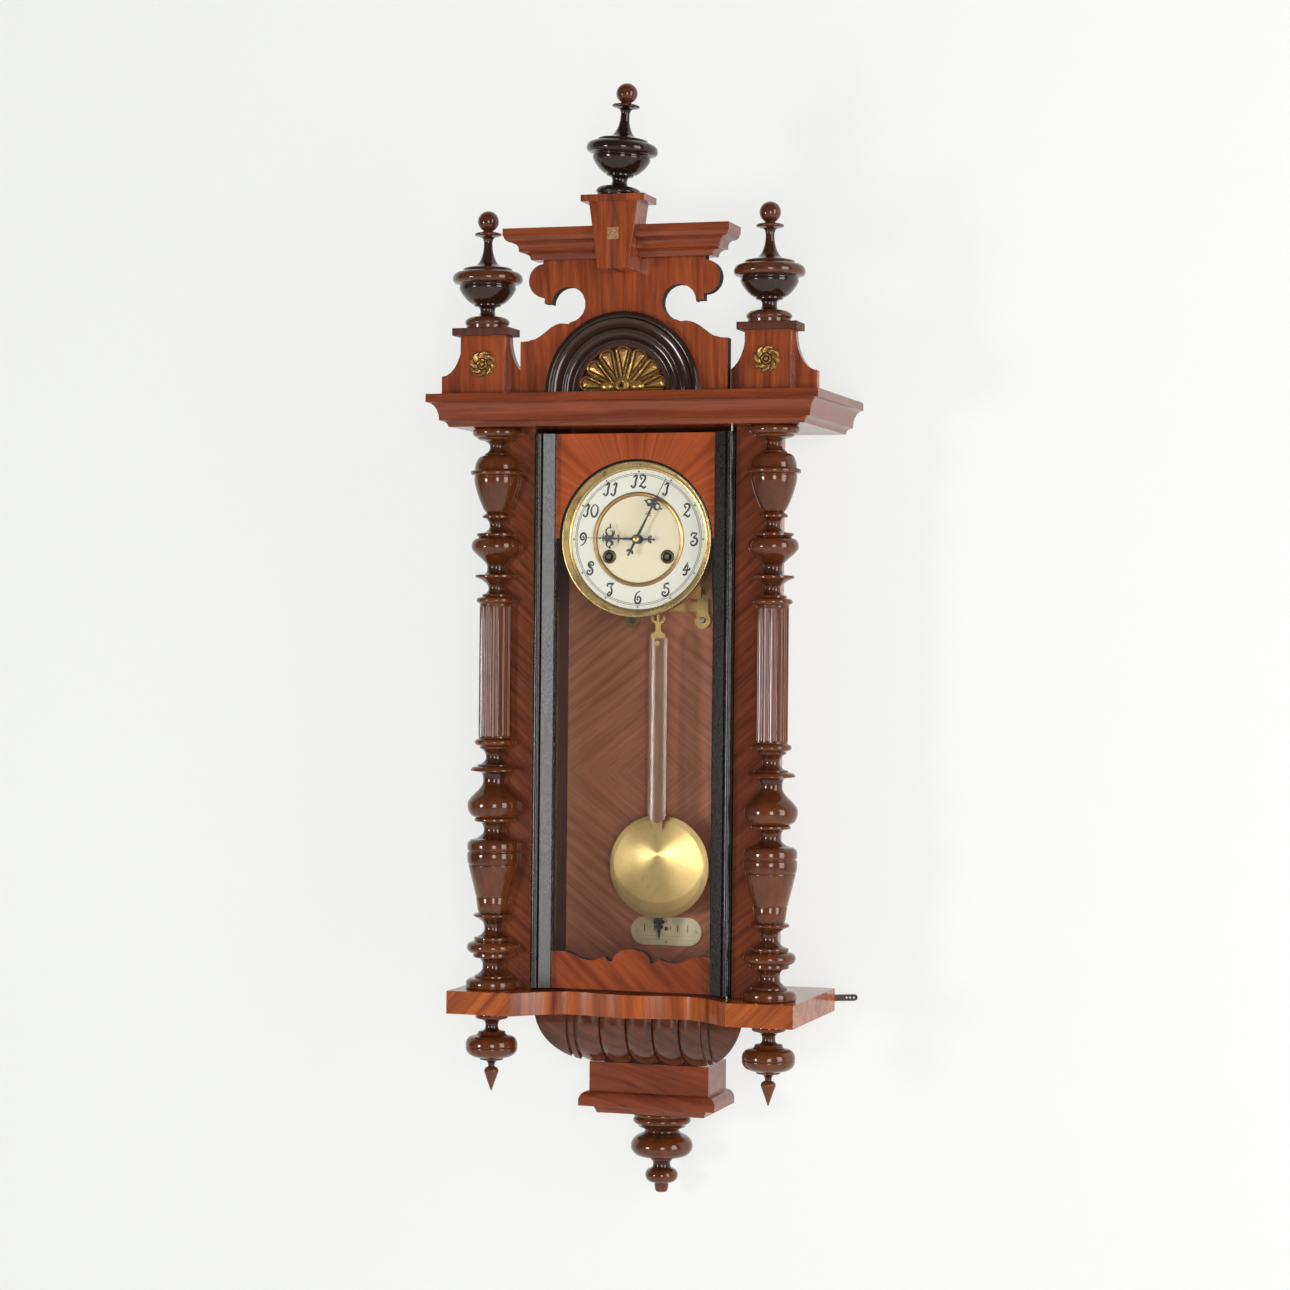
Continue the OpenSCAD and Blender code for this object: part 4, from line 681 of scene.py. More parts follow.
def plain_ink():
    material, graph, shader, place = new_material("Ink")
    worn = graph.span(graph.noise(place, 700.0, 2.0), 0.45, 0.75, 0, 0.4)
    graph.feed(shader, "Base Color", graph.mix(worn, tuple(colours().ink), (0.12, 0.12, 0.1)))
    shader.inputs["Roughness"].default_value = 0.45
    MATERIALS["Ink"] = material


def clear_glass():
    material, graph, shader, place = new_material("Window Glass")
    shader.inputs["Base Color"].default_value = (0.96, 0.97, 0.95, 1)
    shader.inputs["Transmission Weight"].default_value = 1.0
    shader.inputs["IOR"].default_value = 1.45
    film = graph.noise(graph.place(place, scale=(1, 1, 0.3)), 30.0, 3.0)
    graph.feed(shader, "Roughness", graph.span(film, 0.4, 0.8, 0.0, 0.02))
    ray = graph.add("ShaderNodeLightPath").outputs
    passing = graph.maths("MAXIMUM", ray["Is Shadow Ray"], ray["Is Diffuse Ray"])
    clear = graph.add("ShaderNodeBsdfTransparent")
    blend_in(graph, passing, shader, clear)
    MATERIALS["Window Glass"] = material


def stage_white(name, shown, share):
    """Pale stage. A share of its colour shows to the camera and in gloss, the rest is lit."""
    material, graph, shader, place = new_material(name)
    patch = graph.span(graph.noise(place, 2.5, 4.0), 0.3, 0.7)
    graph.feed(shader, "Base Color", graph.mix(patch, shown, tuple(c * 0.985 for c in shown)))
    shader.inputs["Roughness"].default_value = 0.9
    shader.inputs["Specular IOR Level"].default_value = 0.1
    ray = graph.add("ShaderNodeLightPath").outputs
    seen = graph.maths(
        "MAXIMUM",
        ray["Is Camera Ray"],
        graph.maths("MAXIMUM", ray["Is Glossy Ray"], ray["Is Transmission Ray"]),
    )
    # painted light: the glow that the camera and gloss see brightens from left to right across the stage
    across = graph.span(graph.split(place)["X"], -0.9, 0.9)
    pale = graph.mix(across, (0.88, 0.895, 0.86), (1.0, 1.0, 0.995))
    glow = graph.add("ShaderNodeEmission", {"Color": pale})
    behind = graph.add("ShaderNodeNewGeometry").outputs["Backfacing"]
    lit = blend_in(graph, graph.maths("MULTIPLY", seen, share), shader, glow)
    blend_in(graph, behind, lit, graph.add("ShaderNodeBsdfTransparent"))
    MATERIALS[name] = material


# Shapes


def is_sharp(edge, angle):
    """Whether two faces meet at an edge in more than an angle in degrees."""
    return len(edge.link_faces) == 2 and edge.calc_face_angle(0.0) > math.radians(angle)


def finish_mesh(shape, name, body, material, stands_for=(), angle=32.0):
    """Turns a bmesh into a smooth piece that rides on its body, sharp at edges over the angle."""
    for face in shape.faces:
        face.smooth = True
    for edge in shape.edges:
        edge.smooth = not is_sharp(edge, angle)
    mesh = bpy.data.meshes.new(name)
    shape.to_mesh(mesh)
    shape.free()
    piece = bpy.data.objects.new(name, mesh)
    bpy.context.scene.collection.objects.link(piece)
    mesh.materials.append(MATERIALS[material])
    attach(piece, body)
    if stands_for:
        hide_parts(*stands_for)
    return piece


def stand_in(shape, name, node, material, angle=32.0):
    """A finer piece in one CAD node's place, on the node's body, with the node hidden."""
    return finish_mesh(shape, name, BODY_OF[node], material, (node,), angle)


def mark_hollows(piece, passes=3):
    """Stores how hollow the surface is at each point: 0.5 is flat, 1 is a groove."""
    shape = bmesh.new()
    shape.from_mesh(piece.data)
    shape.verts.ensure_lookup_table()
    shape.normal_update()
    values = []
    for vert in shape.verts:
        near = [edge.other_vert(vert).co for edge in vert.link_edges]
        if not near:
            values.append(0.0)
            continue
        mean = sum(near, Vector()) / len(near)
        reach = sum((co - vert.co).length for co in near) / len(near)
        values.append((mean - vert.co).dot(vert.normal) / max(reach, 1e-7))
    for _ in range(passes):
        values = [
            0.5 * values[vert.index]
            + 0.5
            * sum(values[edge.other_vert(vert).index] for edge in vert.link_edges)
            / max(1, len(vert.link_edges))
            for vert in shape.verts
        ]
    shape.free()
    layer = piece.data.attributes.new("hollow", "FLOAT", "POINT")
    layer.data.foreach_set("value", [min(1.0, max(0.0, 0.5 + v)) for v in values])


def arc_between(a, b, push, steps=12):
    """Half-round stretch from a to b that swells outwards by push, or hollows if negative."""
    a, b = Vector(a), Vector(b)
    run = b - a
    side = Vector((run.y, -run.x)) / max(run.length, 1e-6)
    return [
        (a + b) / 2 - run / 2 * math.cos(math.pi * i / steps)
        + side * push * math.sin(math.pi * i / steps)
        for i in range(steps + 1)
    ]


def flare(a, b, steps=9):
    """Quarter sweep that leaves a sideways and arrives at b upright."""
    return [
        Vector(
            (
                a[0] + (b[0] - a[0]) * math.sin(math.pi / 2 * i / steps),
                a[1] + (b[1] - a[1]) * (1 - math.cos(math.pi / 2 * i / steps)),
            )
        )
        for i in range(steps + 1)
    ]


def tuck(a, b, steps=9):
    """Quarter sweep that leaves a upright and arrives at b sideways."""
    return [
        Vector(
            (
                a[0] + (b[0] - a[0]) * (1 - math.cos(math.pi / 2 * i / steps)),
                a[1] + (b[1] - a[1]) * math.sin(math.pi / 2 * i / steps),
            )
        )
        for i in range(steps + 1)
    ]


def band(radius, depth, height):
    """Straight stretch of one radius."""
    return [Vector((radius, depth)), Vector((radius, depth + height))]


def dots(*points):
    """Corners of a profile, one by one."""
    return [Vector(p) for p in points]


# Sizes of the turned profiles, in millimetres
SHAFT = 16.0
COLUMN_HIGH = (CORNICE_FOOT - BASE_TOP) / MM
FINIAL_HIGH = 117.0
BALL = 10.4
BALL_FOOT = 22.5
BOWL_TOP, BOWL_FOOT = 73.0, 98.0


def sweep(a, b, steps=14):
    """S-shaped stretch from a to b, upright at both ends."""
    a, b = Vector(a), Vector(b)
    points = []
    for index in range(steps + 1):
        share = index / steps
        eased_share = share * share * (3 - 2 * share)
        points.append(Vector((a.x + (b.x - a.x) * eased_share, a.y + (b.y - a.y) * share)))
    return points


def spool(a, waist, b, steps=7):
    """Hollow neck that flares from its waist to both ends."""
    a, waist, b = Vector(a), Vector(waist), Vector(b)
    points = []
    for index in range(-steps, steps + 1):
        share = abs(index) / steps
        end = a if index < 0 else b
        radius = waist.x + (end.x - waist.x) * share**2.4
        points.append(Vector((radius, waist.y + (end.y - waist.y) * share)))
    return points


def column_top():
    """Radius against depth below the cornice, from the capital to the shaft."""
    s = SHAFT
    return (
        dots((0, 0), (22.2, 0))
        + arc_between((22.6, 0.4), (21.4, 8.4), 2.6)
        + tuck((20, 9.2), (13, 12.2), 4)
        + spool((12, 12.8), (7.4, 18), (10.8, 24.4))
        + band(12.6, 25, 1.2)
        + flare((13.8, 27), (22.4, 41.2))
        + arc_between((25.2, 42.2), (25.2, 46.4), 1.3, 8)
        + dots((22.4, 47.2))
        + arc_between((22.2, 47.8), (9.8, 84), 3, 16)
        + band(14, 87, 2.2)
        + spool((10.6, 90), (6.9, 97), (13, 103.8))
        + band(19.8, 104.8, 2.4)
        + dots((17.4, 108.2))
        + flare((18.8, 109.6), (24.8, 117.4))
        + sweep((24.8, 118.4), (8.8, 138.4))
        + tuck((8.8, 139.4), (12.6, 145.4), 5)
        + band(20.8, 146.2, 2.4)
        + dots((14.8, 151), (12.4, 152.8))
        + spool((11.2, 153.4), (7.4, 159.6), (11, 165))
        + band(13.6, 165.6, 2.2)
        + arc_between((s + 1, 168.8), (s + 1, 174.2), 2.4, 8)
        + dots((s, 175.4), (s, 178), (0, 178))
    )


def column_foot():
    """Radius against depth from the end of the shaft down to the base board."""
    s = SHAFT
    return (
        dots((0, 307), (s - 0.2, 307), (s - 0.2, 309.4))
        + arc_between((s + 1, 310.4), (s + 1, 316.4), 2.8, 8)
        + band(14.6, 317.6, 2)
        + spool((12.8, 320.4), (8.4, 328), (13, 334.8))
        + band(16.8, 335.8, 1.2)
        + flare((19, 337.6), (23.8, 342))
        + dots((14, 343.4))
        + flare((13.2, 344), (11, 351), 4)
        + sweep((11, 352.6), (26.4, 375))
        + tuck((26.4, 377), (17.6, 388.6))
        + band(19.4, 389.8, 2.6)
        + spool((13, 393.6), (9.9, 401), (15.6, 408.4))
        + flare((19.6, 410), (26.2, 416.4))
        + dots((26.2, 420.6), (25, 421.8), (25, 422.6))
        + arc_between((26, 423.6), (25.2, 434.6), 0.6, 8)
        + dots((24.4, 435.4), (25, 436.4), (17.4, 467.2), (16.6, 468), (17, 469), (15.4, 480.4))
        + dots((14.4, 483.4))
        + arc_between((15.6, 484.2), (15.6, 488.6), 3.8, 8)
        + dots((14.4, 489.8))
        + spool((12.4, 491), (8.4, 499), (14.6, 507.6))
        + band(18.6, 508.4, 2.2)
        + dots((18, 511.6))
        + arc_between((19.4, 512.4), (19, 524.2), 6.6, 14)
        + band(19.4, 525.6, 2.4)
        + spool((13, 529.6), (9.8, 537), (16, 545.8))
        + band(18, 546.6, 1.8)
        + flare((20.4, 549), (26.4, 553.8))
        + dots((26.4, COLUMN_HIGH - 1), (25.6, COLUMN_HIGH), (0, COLUMN_HIGH))
    )


def finial_profile(foot):
    """Radius against depth from the top of the ball to a foot of a radius."""
    ball = [
        Vector((BALL * math.sin(a), BALL - BALL * math.cos(a)))
        for a in (math.radians(8 * i) for i in range(20))
    ]
    return (
        ball
        + dots((5.6, 20.8))
        + arc_between((9.6, 21.6), (9.6, 25.4), 4, 8)
        + flare((8.2, 26), (4.3, 32))
        + tuck((4.3, 33), (16, 55.4))
        + dots((21.4, 56.6), (24.4, 57.6), (24.8, 60))
        + flare((28, 60.8), (34.8, 67.4), 6)
        + tuck((34.8, 68.4), (29.4, 73), 5)
        + dots((27.8, 74))
        + arc_between((27.8, 75.4), (13, 92.6), 3.2)
        + band(13.2, 93, 1.6)
        + arc_between((9.4, 95.6), (10, 104.4), -2.4, 8)
        + flare((14, 105.4), (foot, 111.6))
        + dots((foot - 1.6, 113.6), (foot - 1.6, FINIAL_HIGH), (0, FINIAL_HIGH))
    )


def drop_profile():
    """Radius against depth below the base board."""
    return (
        dots((0, 0), (15, 0), (16.5, 1.6), (16.5, 6.4))
        + flare((15, 7.4), (6.4, 13.6))
        + tuck((6.4, 15), (9.6, 19.4), 5)
        + dots((13.4, 20), (14.2, 22.4), (15.6, 24))
        + flare((18, 24.4), (26, 32.6))
        + dots((26.2, 34.2), (25.2, 34.8), (26, 35.4))
        + tuck((26, 36.4), (14, 46))
        + band(12, 46.6, 1.6)
        + flare((9, 49), (3.2, 54.4), 6)
        + flare((3.4, 55.6), (7.4, 60), 6)
        + dots((7, 61.4), (0.6, 79.2), (0, 80))
    )


def pendant_profile():
    """Radius against depth below the plinth."""
    return (
        dots((0, 0))
        + arc_between((28, 0), (28, 4.6), 1.6, 6)
        + arc_between((27.4, 5.6), (27.4, 11.6), 2.2, 6)
        + dots((25.6, 13), (24, 15.4))
        + arc_between((20, 16.4), (20, 22), -2.4, 8)
        + arc_between((22.6, 23.4), (15.4, 45), 12.8, 18)
        + band(10.8, 46.6, 3)
        + arc_between((9.6, 50.4), (10, 57.2), -1, 6)
        + arc_between((11.6, 58), (8.4, 72), 6.6, 12)
        + dots((7.2, 73.6))
        + tuck((7.2, 74.4), (4.6, 82), 5)
        + dots((0, 82))
    )


def turn_profile(profile, top, steps=None, stretch=1.0, lip=None):
    """Turns a profile of radius and depth, in millimetres, about a standing axis through top."""
    shape = bmesh.new()
    chain = []
    for point in profile:
        spot = Vector((max(point[0], 0.0) * MM, 0, -point[1] * stretch * MM))
        if chain and (chain[-1].co - spot).length < 1e-5:
            continue
        chain.append(shape.verts.new(spot))
    for a, b in zip(chain, chain[1:]):
        shape.edges.new((a, b))
    bmesh.ops.spin(
        shape,
        geom=shape.verts[:] + shape.edges[:],
        cent=(0, 0, 0),
        axis=(0, 0, 1),
        dvec=(0, 0, 0),
        angle=math.tau,
        steps=steps or sizes().turning_steps,
        use_merge=True,
        use_duplicate=False,
    )
    bmesh.ops.remove_doubles(shape, verts=shape.verts[:], dist=1e-6)
    bmesh.ops.recalc_face_normals(shape, faces=shape.faces[:])
    round_edges(shape, lip or sizes().lip_round, 34.0)
    bmesh.ops.translate(shape, verts=shape.verts[:], vec=top)
    return shape


def round_edges(shape, width, angle):
    """Bevels each edge that is sharper than the angle."""
    sharp = [edge for edge in shape.edges if is_sharp(edge, angle)]
    if sharp:
        bmesh.ops.bevel(
            shape,
            geom=sharp,
            offset=width,
            offset_type="OFFSET",
            segments=2,
            profile=0.5,
            affect="EDGES",
            clamp_overlap=True,
            material=-1,
            loop_slide=True,
        )
        bmesh.ops.remove_doubles(shape, verts=shape.verts[:], dist=1e-6)


def merged_copy(node):
    """A copy of a CAD node's mesh with its loose triangles joined to whole faces."""
    shape = bmesh.new()
    shape.from_mesh(CLOCK["nodes"][node].data)
    bmesh.ops.remove_doubles(shape, verts=shape.verts[:], dist=3e-6)
    bmesh.ops.dissolve_limit(
        shape,
        angle_limit=math.radians(0.6),
        use_dissolve_boundaries=False,
        verts=shape.verts[:],
        edges=shape.edges[:],
        delimit=set(),
    )
    return shape


def dress(node, material, round_by):
    """Stands a copy with rounded edges in a CAD node's place."""
    shape = merged_copy(node)
    round_edges(shape, round_by, 38.0)
    piece = stand_in(shape, "dressed_" + node, node, material, 30.0)
    flats = piece.modifiers.new("level flats", "WEIGHTED_NORMAL")
    flats.weight = 90
    flats.keep_sharp = True


def paint(node, material):
    """Gives a CAD node that keeps its own shape its finish."""
    mesh = CLOCK["nodes"][node].data
    mesh.materials.clear()
    mesh.materials.append(MATERIALS[material])


def add_shape(target, part):
    """Adds one bmesh to another."""
    mesh = bpy.data.meshes.new("part")
    part.to_mesh(mesh)
    part.free()
    target.from_mesh(mesh)
    bpy.data.meshes.remove(mesh)


def cut_away(shape, corner, opposite):
    """Takes a block out of one closed shape, from one corner to the opposite one."""
    block = bmesh.new()
    bmesh.ops.create_cube(block, size=1.0)
    centre = (Vector(corner) + Vector(opposite)) / 2
    span = Vector([abs(b - a) for a, b in zip(corner, opposite)])
    bmesh.ops.scale(block, vec=span, verts=block.verts[:])
    bmesh.ops.translate(block, vec=centre, verts=block.verts[:])
    pair = []
    for name, source in (("work", shape), ("cutter", block)):
        mesh = bpy.data.meshes.new(name)
        source.to_mesh(mesh)
        source.free()
        thing = bpy.data.objects.new(name, mesh)
        bpy.context.scene.collection.objects.link(thing)
        pair.append(thing)
    modifier = pair[0].modifiers.new("cut", "BOOLEAN")
    modifier.operation = "DIFFERENCE"
    modifier.solver = "EXACT"
    modifier.object = pair[1]
    bpy.context.view_layer.update()
    graph = bpy.context.evaluated_depsgraph_get()
    cut = bpy.data.meshes.new_from_object(pair[0].evaluated_get(graph))
    result = bmesh.new()
    result.from_mesh(cut)
    bpy.data.meshes.remove(cut)
    for thing in pair:
        mesh = thing.data
        bpy.data.objects.remove(thing)
        bpy.data.meshes.remove(mesh)
    return result


def close_holes(shape):
    """Fills every open border of a shape with a face."""
    bmesh.ops.holes_fill(shape, edges=[e for e in shape.edges if e.is_boundary], sides=0)


def saw_flat(shape, spot, kept_side):
    """Saws a shape off at a plane through a spot, and keeps the side that the normal points to."""
    bmesh.ops.bisect_plane(
        shape,
        geom=shape.verts[:] + shape.edges[:] + shape.faces[:],
        plane_co=spot,
        plane_no=kept_side,
        clear_inner=True,
    )
    close_holes(shape)


class CLOCK_OT_finishes(bpy.types.Operator):
    """Builds every wood, metal, enamel and glass finish of the clock"""

    bl_idname = "clock.finishes"
    bl_label = "Finishes"

    def execute(self, context):
        hues = colours()
        build_grain_group()
        build_age_group()
        veneer("Upright Veneer", along())
        veneer("Cornice Veneer", along((0, 90, 0)), (0.29, 0.062, 0.017), (0.1, 0.018, 0.007), 150.0)
        veneer(
            "Slanted Veneer",
            mirrored_slant(-50),
            (0.24, 0.056, 0.018),
            (0.07, 0.013, 0.006),
            210.0,
            stained=inner_stain,
        )
        veneer(
            "Backboard Veneer", diamond(-0.235), (0.74, 0.28, 0.15), (0.34, 0.12, 0.065), 170.0, wave=0.15
        )
        veneer(
            "Panel Veneer", fan(0.02), (0.56, 0.12, 0.032), (0.22, 0.036, 0.011), 120.0, stained=edge_stain
        )
        veneer("Rail Veneer", along((0, 48, 0)), (0.42, 0.09, 0.026), None, 120.0, stained=edge_stain)
        veneer("Base Veneer", blocks_and_bands, (0.54, 0.13, 0.03), (0.11, 0.02, 0.008), 110.0)
        veneer("Crest Veneer", along(), stained=crest_stain)
        veneer("Pedestal Veneer", along(), stained=cap_stain)
        veneer("Keystone Veneer", along(), stained=key_stain, inlaid=key_inlay)
        veneer(
            "Console Veneer", along((0, 62, 0)), (0.14, 0.04, 0.014), (0.045, 0.012, 0.005), 150.0, coat=0.4
        )
        veneer("Plinth Veneer", along((0, 78, 0)), (0.3, 0.07, 0.026), (0.1, 0.02, 0.01), 150.0, 0.6)
        turned_wood("Turned Walnut", tuple(hues.turned_light), tuple(hues.turned_dark))
        top = high("side_finials").z
        turned_wood(
            "Side Finial",
            (0.14, 0.036, 0.011),
            (0.014, 0.005, 0.003),
            ball_above=top - BALL_FOOT * MM,
            bowl=(top - BOWL_FOOT * MM, top - BOWL_TOP * MM),
        )
        turned_wood(
            "Centre Finial",
            (0.026, 0.009, 0.005),
            (0.006, 0.003, 0.0025),
            ball_above=high("centre_finial").z - BALL_FOOT * MM,
        )
        ebonised("Ebonised Bead", 0.25, 0.3)
        ebonised("Ebonised Arch", 0.4, 0.0, (0.016, 0.007, 0.005), arch_hollows)
        gilt("Gilt Carving")
        metal("Lacquered Brass", hues.brass, (0.16, 0.08, 0.025), 0.5, 0.22)
        metal("Spun Brass", (0.86, 0.62, 0.26), (0.4, 0.26, 0.1), 0.35, 0.44, 160.0, 0.9, bob_rim)
        metal("Old Brass", (0.42, 0.27, 0.1), (0.13, 0.07, 0.025), 0.5, 0.38)
        metal("Steel", hues.steel, (0.06, 0.04, 0.03), 0.5, 0.3)
        metal("Dark Steel", (0.12, 0.11, 0.1), (0.05, 0.03, 0.02), 0.5, 0.32)
        metal("Ring Brass", (0.36, 0.22, 0.09), (0.09, 0.065, 0.03), 0.3, 0.35, dull=grommets)
        metal("Bright Brass", (0.8, 0.6, 0.28), (0.3, 0.18, 0.06), 0.2, 0.2)
        enamelled("Enamel", hues.enamel, (0.8, 0.78, 0.66), 0.5)
        enamelled("Cream Enamel", hues.cream, (0.86, 0.72, 0.45), 0.6)
        enamelled("Aged Plaque", (1.0, 0.92, 0.66), (0.66, 0.48, 0.22), 0.9)
        veneer("Rod Wood", along(), (0.4, 0.2, 0.12), (0.22, 0.1, 0.06), 120.0, coat=0.0)
        plain_ink()
        clear_glass()
        return {"FINISHED"}


class CLOCK_OT_turned_work(bpy.types.Operator):
    """Turns the columns, finials, drops and pendant"""

    bl_idname = "clock.turned_work"
    bl_label = "Turned work"

    # Distance of the columns' axes from the wall, and the corner of the stile they fit round
    COLUMN_OUT = 135 * MM
    STILE_EDGE = (140 * MM, 131 * MM)
    # The fluted stretch of the shaft, from a depth below the cornice, in millimetres
    FLUTES_FROM, FLUTES_LONG = 176.5, 132.0
    # Width of a flute in parts of its share of the shaft, and its depth in millimetres
    FLUTE_WIDE, FLUTE_DEEP = 0.72, 2.0
    POINTS_A_FLUTE = 14

    def execute(self, context):
        self.columns()
        self.side_finials()
        self.centre_finial()
        self.side_drops()
        self.pendant()
        return {"FINISHED"}

    def side_finials(self):
        bottom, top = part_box("side_finials")
        stretch = (top.z - bottom.z) / (FINIAL_HIGH * MM)
        shape = bmesh.new()
        for side in (-1, 1):
            spot = Vector((side * FINIAL_X, (bottom.y + top.y) / 2, top.z))
            add_shape(shape, turn_profile(finial_profile(22.4), spot, stretch=stretch))
        mark_hollows(stand_in(shape, "turned_side_finials", "side_finials", "Side Finial"))

    def side_drops(self):
        bottom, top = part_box("side_drops")
        shape = bmesh.new()
        for side in (-1, 1):
            spot = Vector((side * COLUMN_X, (bottom.y + top.y) / 2, BASE_FOOT))
            add_shape(shape, turn_profile(drop_profile(), spot))
        mark_hollows(stand_in(shape, "turned_side_drops", "side_drops", "Turned Walnut"))

    def columns(self):
        edge_x, edge_out = self.STILE_EDGE
        shape = bmesh.new()
        for side in (-1, 1):
            top = Vector((side * COLUMN_X, -self.COLUMN_OUT, CORNICE_FOOT))
            stile = (
                (side * 60 * MM, -edge_out, BASE_TOP - 0.01),
                (side * edge_x, -50 * MM, CORNICE_FOOT + 0.01),
            )
            for part in (
                turn_profile(column_top(), top),
                turn_profile(column_foot(), top),
                self.fluted_shaft(top),
            ):
                add_shape(shape, cut_away(part, *stile))
        mark_hollows(stand_in(shape, "turned_columns", "columns", "Turned Walnut"))

    def fluted_shaft(self, top):
        """Shaft with round-bottomed flutes and rounded fillets between them."""
        count = sizes().flutes
        shape = bmesh.new()
        disc = bmesh.ops.create_circle(
            shape, cap_ends=True, radius=SHAFT * MM, segments=count * self.POINTS_A_FLUTE
        )
        for vert in disc["verts"]:
            angle = math.atan2(vert.co.y, vert.co.x)
            phase = (angle / math.tau * count) % 1.0
            offset = abs(phase - 0.5) * 2
            cut = max(0.0, 1 - (offset / self.FLUTE_WIDE) ** 2) ** 0.5 * self.FLUTE_DEEP
            lip = 0.35 * max(0.0, (offset - 0.8) / 0.2) ** 2
            vert.co = Vector((math.cos(angle), math.sin(angle), 0)) * (SHAFT - cut - lip) * MM
        bmesh.ops.translate(shape, verts=shape.verts[:], vec=(0, 0, -self.FLUTES_FROM * MM))
        grown = bmesh.ops.extrude_face_region(shape, geom=shape.faces[:])
        verts = [g for g in grown["geom"] if isinstance(g, bmesh.types.BMVert)]
        bmesh.ops.translate(shape, verts=verts, vec=(0, 0, -self.FLUTES_LONG * MM))
        bmesh.ops.recalc_face_normals(shape, faces=shape.faces[:])
        bmesh.ops.translate(shape, verts=shape.verts[:], vec=top)
        return shape

    def centre_finial(self):
        """The middle finial leans a little to the right, as an old dowel lets it."""
        bottom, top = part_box("centre_finial")
        lean = Matrix.Rotation(math.radians(4.5), 3, "Y")
        sunk = 1.9 * MM
        foot = Vector((-0.4 * MM, (bottom.y + top.y) / 2, bottom.z - sunk))
        tall = 111.6
        shape = turn_profile(finial_profile(22.2), (0, 0, tall * MM), stretch=tall / FINIAL_HIGH)
        bmesh.ops.rotate(shape, cent=(0, 0, 0), matrix=lean, verts=shape.verts[:])
        bmesh.ops.translate(shape, vec=foot, verts=shape.verts[:])
        saw_flat(shape, (0, 0, bottom.z), (0, 0, 1))
        mark_hollows(stand_in(shape, "turned_centre_finial", "centre_finial", "Centre Finial"))

    def pendant(self):
        """The drop under the plinth, with its back sawn flat against the wall."""
        top = Vector((3 * MM, -27 * MM, high("pendant").z))
        shape = turn_profile(pendant_profile(), top)
        saw_flat(shape, (0, 0, 0), (0, -1, 0))
        mark_hollows(stand_in(shape, "turned_pendant", "pendant", "Turned Walnut"))


class CLOCK_OT_boards(bpy.types.Operator):
    """Rounds and veneers the boards, cornices, pedestals, console and door"""

    bl_idname = "clock.boards"
    bl_label = "Boards and mouldings"

    BOARDS = (
        ("backboard", "Backboard Veneer"),
        ("case_sides", "Slanted Veneer"),
        ("base_board", "Base Veneer"),
        ("main_cornice", "Cornice Veneer"),
        ("crest_board", "Crest Veneer"),
        ("pedestals", "Pedestal Veneer"),
        ("crest_cornice", "Cornice Veneer"),
        ("keystone", "Keystone Veneer"),
        ("plinth", "Plinth Veneer"),
        ("console", "Console Veneer"),
        ("door_top_panel", "Panel Veneer"),
        ("door_bottom_rail", "Rail Veneer"),
        ("door_stile_left", "Ebonised Bead"),
        ("door_stile_right", "Ebonised Bead"),
    )
    # Inner radius of the arch, in millimetres
    ARCH_INNER = 48.5

    def execute(self, context):
        for node, material in self.BOARDS:
            dress(node, material, sizes().edge_round)
        self.arch()
        return {"FINISHED"}

    def arch(self):
        """Half ring of beads and hollows round the shell, turned a half turn from its section."""
        inner, outer = self.ARCH_INNER, high("arch_moulding").x / MM
        profile = (
            dots((inner, 0), (inner, 2.6))
            + arc_between((inner + 0.4, 2.8), (inner + 3.6, 3.2), -0.9, 6)
            + dots((inner + 4, 2.2))
            + arc_between((inner + 4.4, 2.2), (inner + 10.2, 4.4), 1.1, 8)
            + arc_between((inner + 10.6, 4.6), (inner + 13.6, 5), -0.9, 6)
            + dots((inner + 14, 3.6))
            + arc_between((inner + 14.4, 3.6), (outer - 6.8, 6.2), 1.5, 12)
            + dots((outer - 6.2, 5.2))
            + arc_between((outer - 5.8, 5.4), (outer - 0.6, 5.2), -1.5, 10)
            + dots((outer, 4.2), (outer, 0))
        )
        shape = bmesh.new()
        ring = [shape.verts.new((p[0] * MM, -p[1] * MM, 0)) for p in profile]
        face = shape.faces.new(ring)
        made = bmesh.ops.spin(
            shape,
            geom=[face],
            cent=(0, 0, 0),
            axis=(0, -1, 0),
            dvec=(0, 0, 0),
            angle=math.pi,
            steps=120,
            use_merge=False,
            use_duplicate=False,
        )
        if not made["geom_last"]:
            raise RuntimeError("The arch was not turned")
        bmesh.ops.recalc_face_normals(shape, faces=shape.faces[:])
        bmesh.ops.translate(shape, verts=shape.verts[:], vec=(0, -CREST_FRONT, CORNICE_TOP))
        stand_in(shape, "turned_arch", "arch_moulding", "Ebonised Arch", 28.0)


